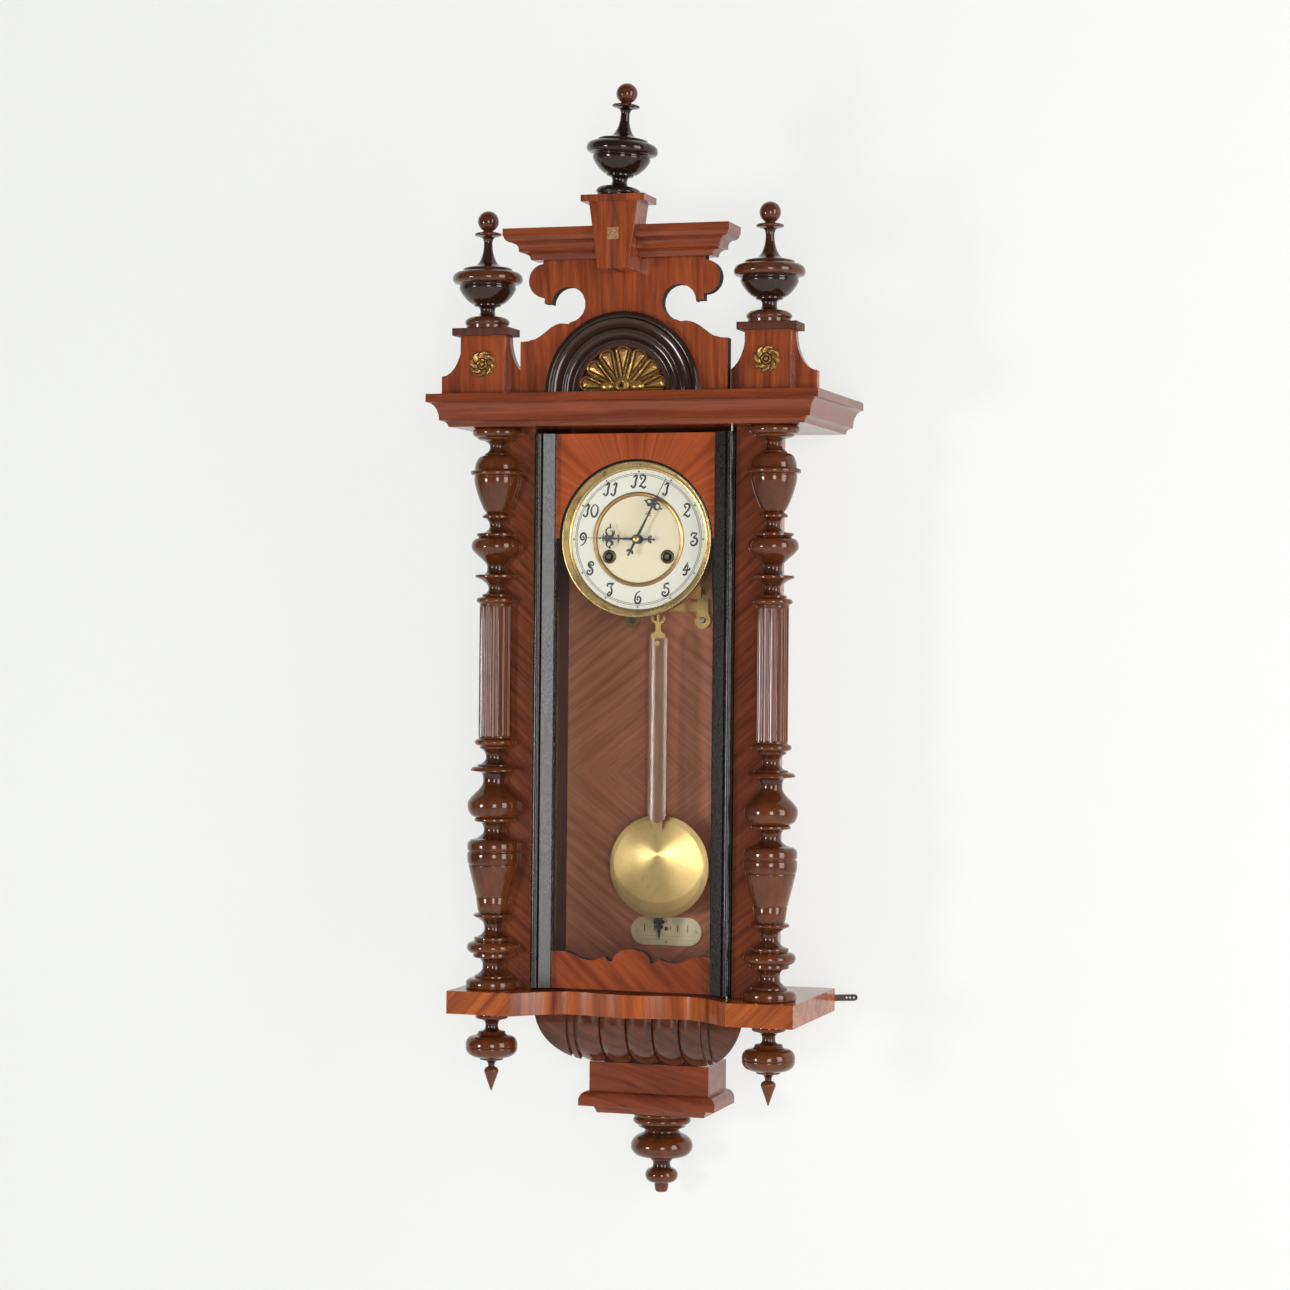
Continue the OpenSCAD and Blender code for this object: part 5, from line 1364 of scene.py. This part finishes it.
# Pen strokes of the numerals, in parts of their height, and the beads that end their curls
DIGITS = {
    "0": [[(0.3, 1.0), (0.07, 0.78), (0.07, 0.24), (0.28, 0.0), (0.52, 0.22), (0.53, 0.76), (0.3, 1.0)]],
    "1": [[(0.08, 0.84), (0.2, 0.86), (0.33, 1.0), (0.34, 0.5), (0.31, 0.12), (0.18, 0.0), (0.02, 0.1)]],
    "2": [
        [(0.16, 0.7), (0.07, 0.86), (0.24, 1.0), (0.47, 0.9), (0.46, 0.62), (0.24, 0.3), (0.04, 0.05)],
        [(0.04, 0.05), (0.2, 0.13), (0.4, 0.0), (0.56, 0.04), (0.58, 0.18)],
    ],
    "3": [
        [(0.05, 0.84), (0.1, 0.97), (0.3, 0.98), (0.54, 0.97)],
        [(0.54, 0.97), (0.4, 0.78), (0.27, 0.62), (0.5, 0.56), (0.58, 0.3), (0.4, 0.03), (0.14, 0.06)]
        + [(0.08, 0.26), (0.24, 0.34)],
    ],
    "4": [
        [(0.4, 1.0), (0.26, 0.66), (0.02, 0.34)],
        [(0.02, 0.34), (0.3, 0.36), (0.58, 0.42), (0.56, 0.56)],
        [(0.44, 0.78), (0.38, 0.3), (0.3, 0.02), (0.12, 0.0), (0.08, 0.1)],
    ],
    "5": [
        [(0.54, 0.9), (0.46, 1.0), (0.3, 0.97), (0.18, 0.98)],
        [(0.18, 0.98), (0.17, 0.78), (0.14, 0.58)],
        [(0.14, 0.58), (0.38, 0.64), (0.57, 0.44), (0.5, 0.12), (0.26, 0.0), (0.06, 0.14), (0.12, 0.32)]
        + [(0.26, 0.28)],
    ],
    "6": [
        [(0.46, 1.0), (0.22, 0.84), (0.08, 0.5), (0.12, 0.14), (0.32, 0.0), (0.54, 0.18), (0.52, 0.42)]
        + [(0.36, 0.54), (0.24, 0.44), (0.28, 0.3)]
    ],
    "7": [
        [(0.02, 0.8), (0.08, 0.94), (0.3, 0.96), (0.56, 1.0)],
        [(0.56, 1.0), (0.34, 0.72), (0.44, 0.4), (0.36, 0.08), (0.2, 0.0), (0.12, 0.14), (0.24, 0.26)],
    ],
    "8": [
        [(0.28, 0.78), (0.4, 0.7), (0.52, 0.84), (0.38, 1.0), (0.16, 0.94), (0.12, 0.72), (0.34, 0.54)]
        + [(0.5, 0.34), (0.46, 0.08), (0.24, 0.0), (0.06, 0.16), (0.14, 0.34), (0.28, 0.28)]
    ],
    "9": [
        [(0.1, 0.0), (0.34, 0.12), (0.5, 0.46), (0.48, 0.82), (0.28, 1.0), (0.06, 0.84), (0.08, 0.58)]
        + [(0.24, 0.46), (0.36, 0.58), (0.28, 0.72)]
    ],
}
BEADS = {
    "1": [(0.04, 0.12)],
    "2": [(0.17, 0.72)],
    "3": [(0.24, 0.34), (0.05, 0.84)],
    "5": [(0.26, 0.28)],
    "6": [(0.28, 0.32)],
    "7": [(0.24, 0.26), (0.02, 0.8)],
    "8": [(0.28, 0.78), (0.28, 0.28)],
    "9": [(0.28, 0.72)],
}


class Pen:
    """Draws flat painted lines and dots that lie on a surface facing the front."""

    def __init__(self, name, depth, thick=0.07 * MM):
        self.name = name
        self.depth = depth
        self.thick = thick
        self.curve = bpy.data.curves.new(name, "CURVE")
        self.curve.dimensions = "3D"
        self.curve.bevel_depth = 0.62 * MM
        self.curve.bevel_resolution = 1
        self.curve.resolution_u = 5
        self.curve.use_fill_caps = True
        self.shape = bmesh.new()

    def line(self, points, width, closed=False, taper=0.0):
        """A line through points (x, z) of a width, thinner towards its ends by taper."""
        spline = self.curve.splines.new("BEZIER")
        spline.bezier_points.add(len(points) - 1)
        spline.use_cyclic_u = closed
        last = len(points) - 1
        for index, (x, z) in enumerate(points):
            spot = spline.bezier_points[index]
            spot.co = (x, 0, z)
            spot.handle_left_type = spot.handle_right_type = "AUTO"
            swell = math.sin(math.pi * index / last) if last else 1.0
            spot.radius = width / MM * (1 - taper + taper * swell)

    def circle(self, radius, width):
        """A ring round the dial's centre."""
        turns = [math.tau * i / 32 for i in range(32)]
        points = [(radius * math.cos(a), radius * math.sin(a)) for a in turns]
        self.line(points, width, closed=True)

    def dot(self, x, z, radius):
        bmesh.ops.create_icosphere(
            self.shape,
            subdivisions=2,
            radius=radius,
            matrix=Matrix.Translation((x, 0, z)) @ Matrix.Diagonal((1, self.thick / radius, 1, 1)),
        )

    def bar(self, x, z, wide, tall):
        matrix = Matrix.Translation((x, 0, z)) @ Matrix.Diagonal((wide, 2 * self.thick, tall, 1))
        bmesh.ops.create_cube(self.shape, size=1.0, matrix=matrix)

    def finish(self, body, material="Ink"):
        """Makes one piece of all lines and dots, flat against the surface."""
        if self.curve.splines:
            lines = bpy.data.objects.new(self.name, self.curve)
            bpy.context.scene.collection.objects.link(lines)
            bpy.context.view_layer.update()
            graph = bpy.context.evaluated_depsgraph_get()
            mesh = bpy.data.meshes.new_from_object(lines.evaluated_get(graph))
            drawn = bmesh.new()
            drawn.from_mesh(mesh)
            for vert in drawn.verts:
                vert.co.y = max(-self.thick, min(self.thick, vert.co.y))
            add_shape(self.shape, drawn)
            bpy.data.meshes.remove(mesh)
            bpy.data.objects.remove(lines)
        bpy.data.curves.remove(self.curve)
        bmesh.ops.translate(self.shape, verts=self.shape.verts[:], vec=(0, -self.depth, 0))
        bmesh.ops.recalc_face_normals(self.shape, faces=self.shape.faces[:])
        finish_mesh(self.shape, self.name, body, material)


MINUTE_SHOWN = math.radians(26.8)
HOUR_SHOWN = math.radians(271.5)
# Places on a hand in millimetres: along it from the arbor and across it to the right
HOUR_MARKS = {
    "crescents": [(6.6, 28, 4.4, 3.6), (-5.6, 28, 3.4, 1.4)],
    "bars": [(19.5, 3.4), (35, 4)],
    "knots": [(28, 2), (32, 1.3), (24, 1.3), (38.5, 1)],
}
MINUTE_MARKS = {
    "crescents": [(4.6, 38, 3.2, 2.4), (-4.6, 38, 3.2, 2.4)],
    "bars": [(27, 2.6)],
    "knots": [(38, 1.7), (42, 1.4), (45.4, 1.7), (34, 1)],
}


class CLOCK_OT_dial(bpy.types.Operator):
    """Makes the dial with its numerals, rings and hands"""

    bl_idname = "clock.dial"
    bl_label = "Dial and hands"

    # Radii of the printed rings and of the dots between them, in millimetres
    NUMERAL_RING = 57.5
    RAILS = (65.4, 63.9)
    RAIL_WIDE = 0.42
    DOT_RING = 67.2
    HOUR_DOT, MINUTE_DOT = 0.95, 0.36
    # Slant of a numeral, and the width and spacing of its digits, in parts of its height
    LEAN = 0.1
    DIGIT_WIDE = 0.58
    DIGIT_STEP = 0.62
    # Rolled lines on the brass front: name, radius and distance from the wall, in millimetres
    ROLLED_LINES = (("inner_bead", 70.9, 117.9), ("outer_bead", 76.4, 124.2))

    def execute(self, context):
        for node, material in (
            ("chapter_ring", "Enamel"),
            ("dial_trim", "Ring Brass"),
            ("dial_centre", "Cream Enamel"),
            ("minute_hand", "Ink"),
            ("hour_hand", "Ink"),
        ):
            dress(node, material, 0.12 * MM)
        face = -low("chapter_ring").y
        pen = Pen("dial_print", face)
        for hour in range(1, 13):
            self.numeral(pen, hour)
        for radius in self.RAILS:
            pen.circle(radius * MM, self.RAIL_WIDE * MM)
        ring = self.DOT_RING * MM
        for minute in range(60):
            angle = math.tau * minute / 60
            size = self.HOUR_DOT if minute % 5 == 0 else self.MINUTE_DOT
            pen.dot(ring * math.sin(angle), ring * math.cos(angle), size * MM)
        pen.finish("case")
        self.scrolls("minute_scrolls", BODY_OF["minute_hand"], MINUTE_FACE, MINUTE_SHOWN, MINUTE_MARKS)
        self.scrolls("hour_scrolls", BODY_OF["hour_hand"], HOUR_FACE, HOUR_SHOWN, HOUR_MARKS)
        self.hand_nut()
        self.bezel()
        self.bezel_beads()
        return {"FINISHED"}

    def bezel(self):
        """Drum with its wide sloping front, turned about the dial's axis."""
        face = -low("chapter_ring").y / MM
        seat = -high("dial_bezel").y / MM
        profile = (
            dots((66, seat), (74.4, seat))
            + flare((74.4, face + 1), (78, face + 5.4), 5)
            + tuck((78, face + 6.4), (76.6, face + 8.2), 4)
            + dots((75.4, face + 8.2), (75, face + 7), (72, face + 2.2), (71.6, face + 1.2))
            + dots((70, face + 1), (69.6, face + 0.4), (69.6, face - 2), (73, face - 3.4))
            + dots((73, seat + 1.4), (66, seat + 1.4), (66, seat))
        )
        shape = turn_profile(profile, (0, 0, 0), steps=128, lip=0.2 * MM)
        bmesh.ops.rotate(
            shape, verts=shape.verts[:], cent=(0, 0, 0), matrix=Matrix.Rotation(-math.pi / 2, 3, "X")
        )
        stand_in(shape, "turned_bezel", "dial_bezel", "Lacquered Brass", 30.0)

    def hand_nut(self):
        """The small domed brass nut that holds the hands."""
        shape = bmesh.new()
        bmesh.ops.create_uvsphere(
            shape,
            u_segments=32,
            v_segments=16,
            radius=3.1 * MM,
            matrix=Matrix.Translation((0, -NUT_FACE, 0)) @ Matrix.Diagonal((1, 0.3, 1, 1)),
        )
        finish_mesh(shape, "hand_nut", BODY_OF["minute_hand"], "Bright Brass")

    def bezel_beads(self):
        """Fine rolled lines on the brass front of the bezel."""
        for name, radius, depth in self.ROLLED_LINES:
            pen = Pen(name, depth * MM, 0.5 * MM)
            pen.circle(radius * MM, 0.6 * MM)
            pen.finish("case", "Bright Brass")

    def numeral(self, pen, hour):
        """One upright numeral with a slight lean, centred on the hour's place."""
        tall = sizes().numeral_height
        angle = math.tau * hour / 12
        centre = Vector((math.sin(angle), math.cos(angle))) * self.NUMERAL_RING * MM
        digits = str(hour)
        left = -(self.DIGIT_STEP * (len(digits) - 1) + self.DIGIT_WIDE) / 2

        def spot(place, x, z):
            slant = self.LEAN * (z - 0.5)
            return (
                centre.x + (left + self.DIGIT_STEP * place + x + slant) * tall,
                centre.y + (z - 0.5) * tall,
            )

        for place, digit in enumerate(digits):
            for stroke in DIGITS[digit]:
                pen.line([spot(place, x, z) for x, z in stroke], 2.0 * MM, taper=0.6)
            for x, z in BEADS.get(digit, ()):
                pen.dot(*spot(place, x, z), 1.15 * MM)

    def scrolls(self, name, body, depth, angle, marks):
        """Pierced crescents, bars and tips of a hand that points at an angle from upright."""
        pen = Pen(name, depth, 0.42 * MM)
        out = Vector((math.sin(angle), math.cos(angle)))
        side = Vector((out.y, -out.x))

        def spot(along, across):
            return tuple((out * along + side * across) * MM)

        for across, along, radius, tip in marks["crescents"]:
            way = 1 if across > 0 else -1
            ring = [
                spot(along + radius * math.cos(a), across + way * radius * math.sin(a))
                for a in (math.radians(-200 + 28 * i) for i in range(11))
            ]
            pen.line(ring, 1.5 * MM, taper=0.5)
            pen.dot(*spot(along, across + way * radius), 1.3 * MM)
            pen.line([spot(along, across + way * (radius + tip * q)) for q in (0, 0.5, 1)], 1.2 * MM)
        for along, reach in marks["bars"]:
            pen.line([spot(along, reach * q) for q in (-1, -0.5, 0, 0.5, 1)], 1.1 * MM, taper=0.6)
            for q in (-1, 1):
                pen.dot(*spot(along, reach * q), 0.6 * MM)
        for along, radius in marks["knots"]:
            pen.dot(*spot(along, 0), radius * MM)
        for q in (-1, 1):
            pen.dot(*spot(-14.2, q * 2.8), 1.3 * MM)
        pen.dot(*spot(-17.4, 0), 1.3 * MM)
        pen.finish(body)


def eased(knots, value):
    """Height at a value along knots of (value, height), with soft turns."""
    if value <= knots[0][0]:
        return knots[0][1]
    for (a, start), (b, end) in zip(knots, knots[1:]):
        if value <= b:
            share = (1 - math.cos(math.pi * (value - a) / (b - a))) / 2
            return start + (end - start) * share
    return knots[-1][1]


def carved_relief(columns, rows, turn, surface):
    """A closed relief from a grid bent round its centre, with its back flat at depth 0.

    surface(share, reach) gives the radius and the height in millimetres.
    """
    shape = bmesh.new()
    bmesh.ops.create_grid(shape, x_segments=columns, y_segments=rows, size=0.5)
    for vert in shape.verts:
        share, reach = vert.co.x + 0.5, vert.co.y + 0.5
        radius, height = surface(share, reach)
        angle = turn * share
        vert.co = Vector((radius * math.cos(angle), -height, radius * math.sin(angle))) * MM
    bmesh.ops.remove_doubles(shape, verts=shape.verts[:], dist=2e-5)
    rim = [edge for edge in shape.edges if edge.is_boundary]
    grown = bmesh.ops.extrude_edge_only(shape, edges=rim)
    for item in grown["geom"]:
        if isinstance(item, bmesh.types.BMVert):
            item.co.y = 0.0
    close_holes(shape)
    bmesh.ops.recalc_face_normals(shape, faces=shape.faces[:])
    return shape


class CLOCK_OT_carving(bpy.types.Operator):
    """Carves the gilt shell and the two rosettes"""

    bl_idname = "clock.carving"
    bl_label = "Carving"

    # Height of a leaf against the distance from its edge, in millimetres
    LEAF = ((0, 0), (0.7, 0.1), (1.7, 3.4), (2.7, 3), (3.9, 0.5), (5.6, 2.2), (9, 3))
    # Radius where the leaves part, and how far their round ends reach beyond it
    LEAF_SHOULDER, LEAF_END = 36.4, 10.4
    # Balls at the foot of the shell: across, up, radius and distance out, in millimetres
    BALLS = ((-15.4, 5.4, 6.4, 8.2), (15.4, 5.4, 6.4, 8.2), (0, 6.6, 8.2, 9))
    # Radius of the dimple in the middle ball
    DIMPLE = 3.2
    # Heights of a rosette's petals and bud against the reach from its centre
    PETALS = 8
    PETAL = ((0.42, 0.1), (0.52, 0.55), (0.86, 1.0), (1.0, 0.35))
    BUD = ((0.0, 1.0), (0.12, 0.9), (0.17, 0.35), (0.34, 0.85), (0.44, 0.15))

    def execute(self, context):
        self.shell()
        self.rosettes()
        return {"FINISHED"}

    def shell(self):
        """Fan of hollow leaves with round ends, and three balls at its foot."""
        leaves = sizes().shell_leaves
        step = math.pi / leaves

        def surface(share, reach):
            phase = share * leaves % 1.0
            edge = 1 - abs(2 * phase - 1)
            outer = self.LEAF_SHOULDER + self.LEAF_END * math.sqrt(max(0.0, 1 - (1 - edge) ** 2))
            radius = outer * reach
            inset = min(edge * step / 2 * radius, (outer - radius) * 1.1)
            return radius, 2.4 + eased(self.LEAF, inset) + 1.6 * (1 - reach)

        shape = carved_relief(leaves * 28, 44, math.pi, surface)
        dimple = self.DIMPLE * MM
        for x, z, radius, depth in self.BALLS:
            knob = bmesh.new()
            bmesh.ops.create_uvsphere(
                knob,
                u_segments=32,
                v_segments=20,
                radius=radius * MM,
                matrix=Matrix.Translation((x * MM, -(depth - 2) * MM, z * MM))
                @ Matrix.Diagonal((1.15 if x else 1, 0.6, 0.8 if x else 1, 1)),
            )
            for vert in knob.verts:
                away = math.hypot(vert.co.x - x * MM, vert.co.z - z * MM)
                if not x and vert.co.y < -depth * MM and away < dimple:
                    vert.co.y += 3 * (dimple - away)
                vert.co.z = max(vert.co.z, 0.1 * MM)
            add_shape(shape, knob)
        back = high("shell_ornament").y
        bmesh.ops.translate(shape, verts=shape.verts[:], vec=(0, back, CORNICE_TOP + 0.05 * MM))
        mark_hollows(stand_in(shape, "carved_shell", "shell_ornament", "Gilt Carving", 60.0), 1)

    def rosettes(self):
        """Swirled petals round a bud, one on each pedestal."""
        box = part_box("rosettes")
        thick = (box[1].y - box[0].y) / MM
        radius_out = (box[1].z - box[0].z) / 2 / MM
        middle = (box[0].z + box[1].z) / 2
        apart = (box[1].x - box[0].x) / 2 - radius_out * MM
        centre = (box[0].x + box[1].x) / 2
        petals = self.PETALS

        def surface(share, reach):
            swirl = share + 0.16 * reach
            ridge = abs(math.cos(math.pi * petals * swirl))
            inner = abs(math.cos(math.pi * 5 * (share - 0.22 * reach)))
            outer = radius_out - 1.5 + 1.5 * abs(math.cos(math.pi * petals * (share + 0.16)))
            leaf = eased(self.PETAL, reach) * (0.3 + 0.7 * ridge**0.6)
            bud = eased(self.BUD, reach) * (1 if reach < 0.17 else 0.4 + 0.6 * inner)
            lift = max(leaf, bud)
            return outer * reach, thick * (0.25 + 0.74 * lift)

        shape = bmesh.new()
        for side in (-1, 1):
            part = carved_relief(petals * 20, 30, math.tau, surface)
            spot = (centre + side * apart, box[1].y, middle)
            bmesh.ops.translate(part, verts=part.verts[:], vec=spot)
            add_shape(shape, part)
        mark_hollows(stand_in(shape, "carved_rosettes", "rosettes", "Gilt Carving", 60.0), 1)


class CLOCK_OT_metalwork(bpy.types.Operator):
    """Finishes the movement, pendulum, gong, glass and fittings"""

    bl_idname = "clock.metalwork"
    bl_label = "Movement and fittings"

    FINISHES = (
        ("Spun Brass", "pendulum_bob"),
        ("Rod Wood", "pendulum_rod"),
        ("Ebonised Bead", "pendulum_pointer glass_slips"),
        ("Aged Plaque", "beat_scale"),
        ("Window Glass", "door_glass"),
        (
            "Old Brass",
            "hanger_plate movement_bracket pivot_sockets front_plate back_plate hour_wheel "
            "minute_wheel centre_wheel going_barrel second_wheel third_wheel escape_wheel "
            "pendulum_hook strike_barrel pin_wheel fly hammer",
        ),
        ("Steel", "wood_screws gong_coil gong_stand anchor crutch door_pivots"),
        ("Dark Steel", "steady_strap winding_arbor_right winding_arbor_left"),
    )

    def execute(self, context):
        for material, nodes in self.FINISHES:
            for node in nodes.split():
                paint(node, material)
        self.plaque_print()
        return {"FINISHED"}

    def plaque_print(self):
        """Swing marks on the plaque under the bob."""
        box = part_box("beat_scale")
        x = (box[0].x + box[1].x) / 2
        z = (box[0].z + box[1].z) / 2
        pen = Pen("plaque_print", PLAQUE_FACE, 0.04 * MM)
        pen.dot(x, z + 2.6 * MM, 2.2 * MM)
        pen.dot(x, z + 10 * MM, 1 * MM)
        pen.dot(x, z - 11 * MM, 0.9 * MM)
        for side in (-1, 1):
            for away, tall in ((4.6, 3), (12.4, 6.6), (23, 7.4)):
                pen.bar(x + side * away * MM, z + 3.4 * MM, 0.9 * MM, tall * MM)
            for count in range(15):
                along_scale = x + side * (1.2 + 2.1 * count) * MM
                pen.dot(along_scale, z - 5 * MM, 0.34 * MM)
                pen.dot(along_scale, z - 8.6 * MM, 0.34 * MM)
        pen.finish("case")


def flat_board(name, corners, material):
    """One stage plane from its corners."""
    shape = bmesh.new()
    shape.faces.new([shape.verts.new(c) for c in corners])
    mesh = bpy.data.meshes.new(name)
    shape.to_mesh(mesh)
    shape.free()
    board = bpy.data.objects.new(name, mesh)
    bpy.context.scene.collection.objects.link(board)
    mesh.materials.append(MATERIALS[material])


def area_light(name, spot, target, width, height, watts, tint=(1, 1, 1)):
    """A soft lamp at a spot that shines towards a target."""
    lamp = bpy.data.lights.new(name, "AREA")
    lamp.shape = "RECTANGLE"
    lamp.size = width
    lamp.size_y = height
    lamp.energy = watts
    lamp.color = tint
    light = bpy.data.objects.new(name, lamp)
    bpy.context.scene.collection.objects.link(light)
    light.location = spot
    light.rotation_euler = (Vector(target) - Vector(spot)).to_track_quat("-Z", "Y").to_euler()


class CLOCK_OT_stage(bpy.types.Operator):
    """Sets the pale wall and floor, the lights and the camera"""

    bl_idname = "clock.stage"
    bl_label = "Stage"

    # The photograph's camera, turned left, up and about its own line of sight by degrees
    CAMERA_AT = (0.91637, -3.04651, -0.10859)
    YAW = 17.23
    PITCH = 0.07
    ROLL = 0.55
    # Its focal length and the photograph's width in pixels, and the film's width in millimetres
    FOCAL = 3092.24
    PHOTO_WIDE = 1290
    FILM = 36.0
    # Half width, foot and top of the wall, and reach of the floor in front of and behind it
    HALF, FLOOR, TOP = 4, -1.4, 2.6
    FRONT, BACK = -5, 1.5
    WALL_GAP = 0.0012

    def execute(self, context):
        stage_white("Wall Paint", (0.9, 0.905, 0.89), 0.72)
        stage_white("Floor Paint", (0.85, 0.85, 0.84), 0.72)
        half, floor, top, gap = self.HALF, self.FLOOR, self.TOP, self.WALL_GAP
        wall = [(-half, gap, floor), (half, gap, floor), (half, gap, top), (-half, gap, top)]
        flat_board("wall", wall, "Wall Paint")
        ground = [(-half, self.FRONT), (half, self.FRONT), (half, self.BACK), (-half, self.BACK)]
        flat_board("floor", [(x, y, floor) for x, y in ground], "Floor Paint")
        area_light("key_light", (-1.9, -2.5, -0.35), (0, -0.05, -0.2), 0.5, 0.6, 30)
        area_light("side_window", (2.75, -1.35, 0.25), (0, -0.1, -0.1), 1.1, 2.3, 52, (0.98, 0.99, 1))
        area_light("room_light", (1.15, -3.25, -0.15), (0, 0, -0.15), 0.8, 1.3, 32)
        world = bpy.data.worlds.new("Studio")
        world.use_nodes = True
        background = world.node_tree.nodes["Background"]
        background.inputs[0].default_value = (0.93, 0.94, 0.95, 1)
        background.inputs[1].default_value = 0.18
        context.scene.world = world
        context.scene.view_settings.view_transform = "Standard"
        self.place_camera(context)
        return {"FINISHED"}

    def place_camera(self, context):
        """Stands the camera where the photograph was taken from."""
        yaw, pitch, roll = (math.radians(a) for a in (self.YAW, self.PITCH, self.ROLL))
        ahead = Vector(
            (-math.sin(yaw) * math.cos(pitch), math.cos(yaw) * math.cos(pitch), math.sin(pitch))
        )
        right = Vector((math.cos(yaw), math.sin(yaw), 0))
        up = right.cross(ahead)
        level, tip = math.cos(roll), math.sin(roll)
        right, up = right * level + up * tip, up * level - right * tip
        turn = Matrix((right, up, -ahead)).transposed().to_4x4()
        lens = bpy.data.cameras.new("photo_view")
        lens.sensor_width = self.FILM
        lens.lens = self.FOCAL / self.PHOTO_WIDE * self.FILM
        camera = bpy.data.objects.new("photo_view", lens)
        context.scene.collection.objects.link(camera)
        camera.matrix_world = Matrix.Translation(self.CAMERA_AT) @ turn
        context.scene.camera = camera


class CLOCK_PT_panel(bpy.types.Panel):
    """Lists the clock's values and the steps that dress it"""

    bl_idname = "CLOCK_PT_panel"
    bl_label = "Regulator Clock"
    bl_space_type = "VIEW_3D"
    bl_region_type = "UI"
    bl_category = "Clock"

    def draw(self, context):
        layout = self.layout
        for owner in (context.scene.clock_sizes, context.scene.clock_colours):
            column = layout.column(align=True)
            for name in owner.__annotations__:
                column.prop(owner, name)
        column = layout.column()
        for step in STEPS:
            column.operator(step.bl_idname)


STEPS = (
    CLOCK_OT_finishes,
    CLOCK_OT_stage,
    CLOCK_OT_turned_work,
    CLOCK_OT_boards,
    CLOCK_OT_carving,
    CLOCK_OT_dial,
    CLOCK_OT_metalwork,
)
CLASSES = (ClockSizes, ClockColours, *STEPS, CLOCK_PT_panel)


def register():
    for cls in CLASSES:
        bpy.utils.register_class(cls)
    bpy.types.Scene.clock_sizes = bpy.props.PointerProperty(type=ClockSizes)
    bpy.types.Scene.clock_colours = bpy.props.PointerProperty(type=ClockColours)


def unregister():
    del bpy.types.Scene.clock_colours
    del bpy.types.Scene.clock_sizes
    for cls in reversed(CLASSES):
        bpy.utils.unregister_class(cls)


def main():
    register()
    for step in STEPS:
        group, name = step.bl_idname.split(".")
        getattr(getattr(bpy.ops, group), name)()


if __name__ == "__main__":
    main()
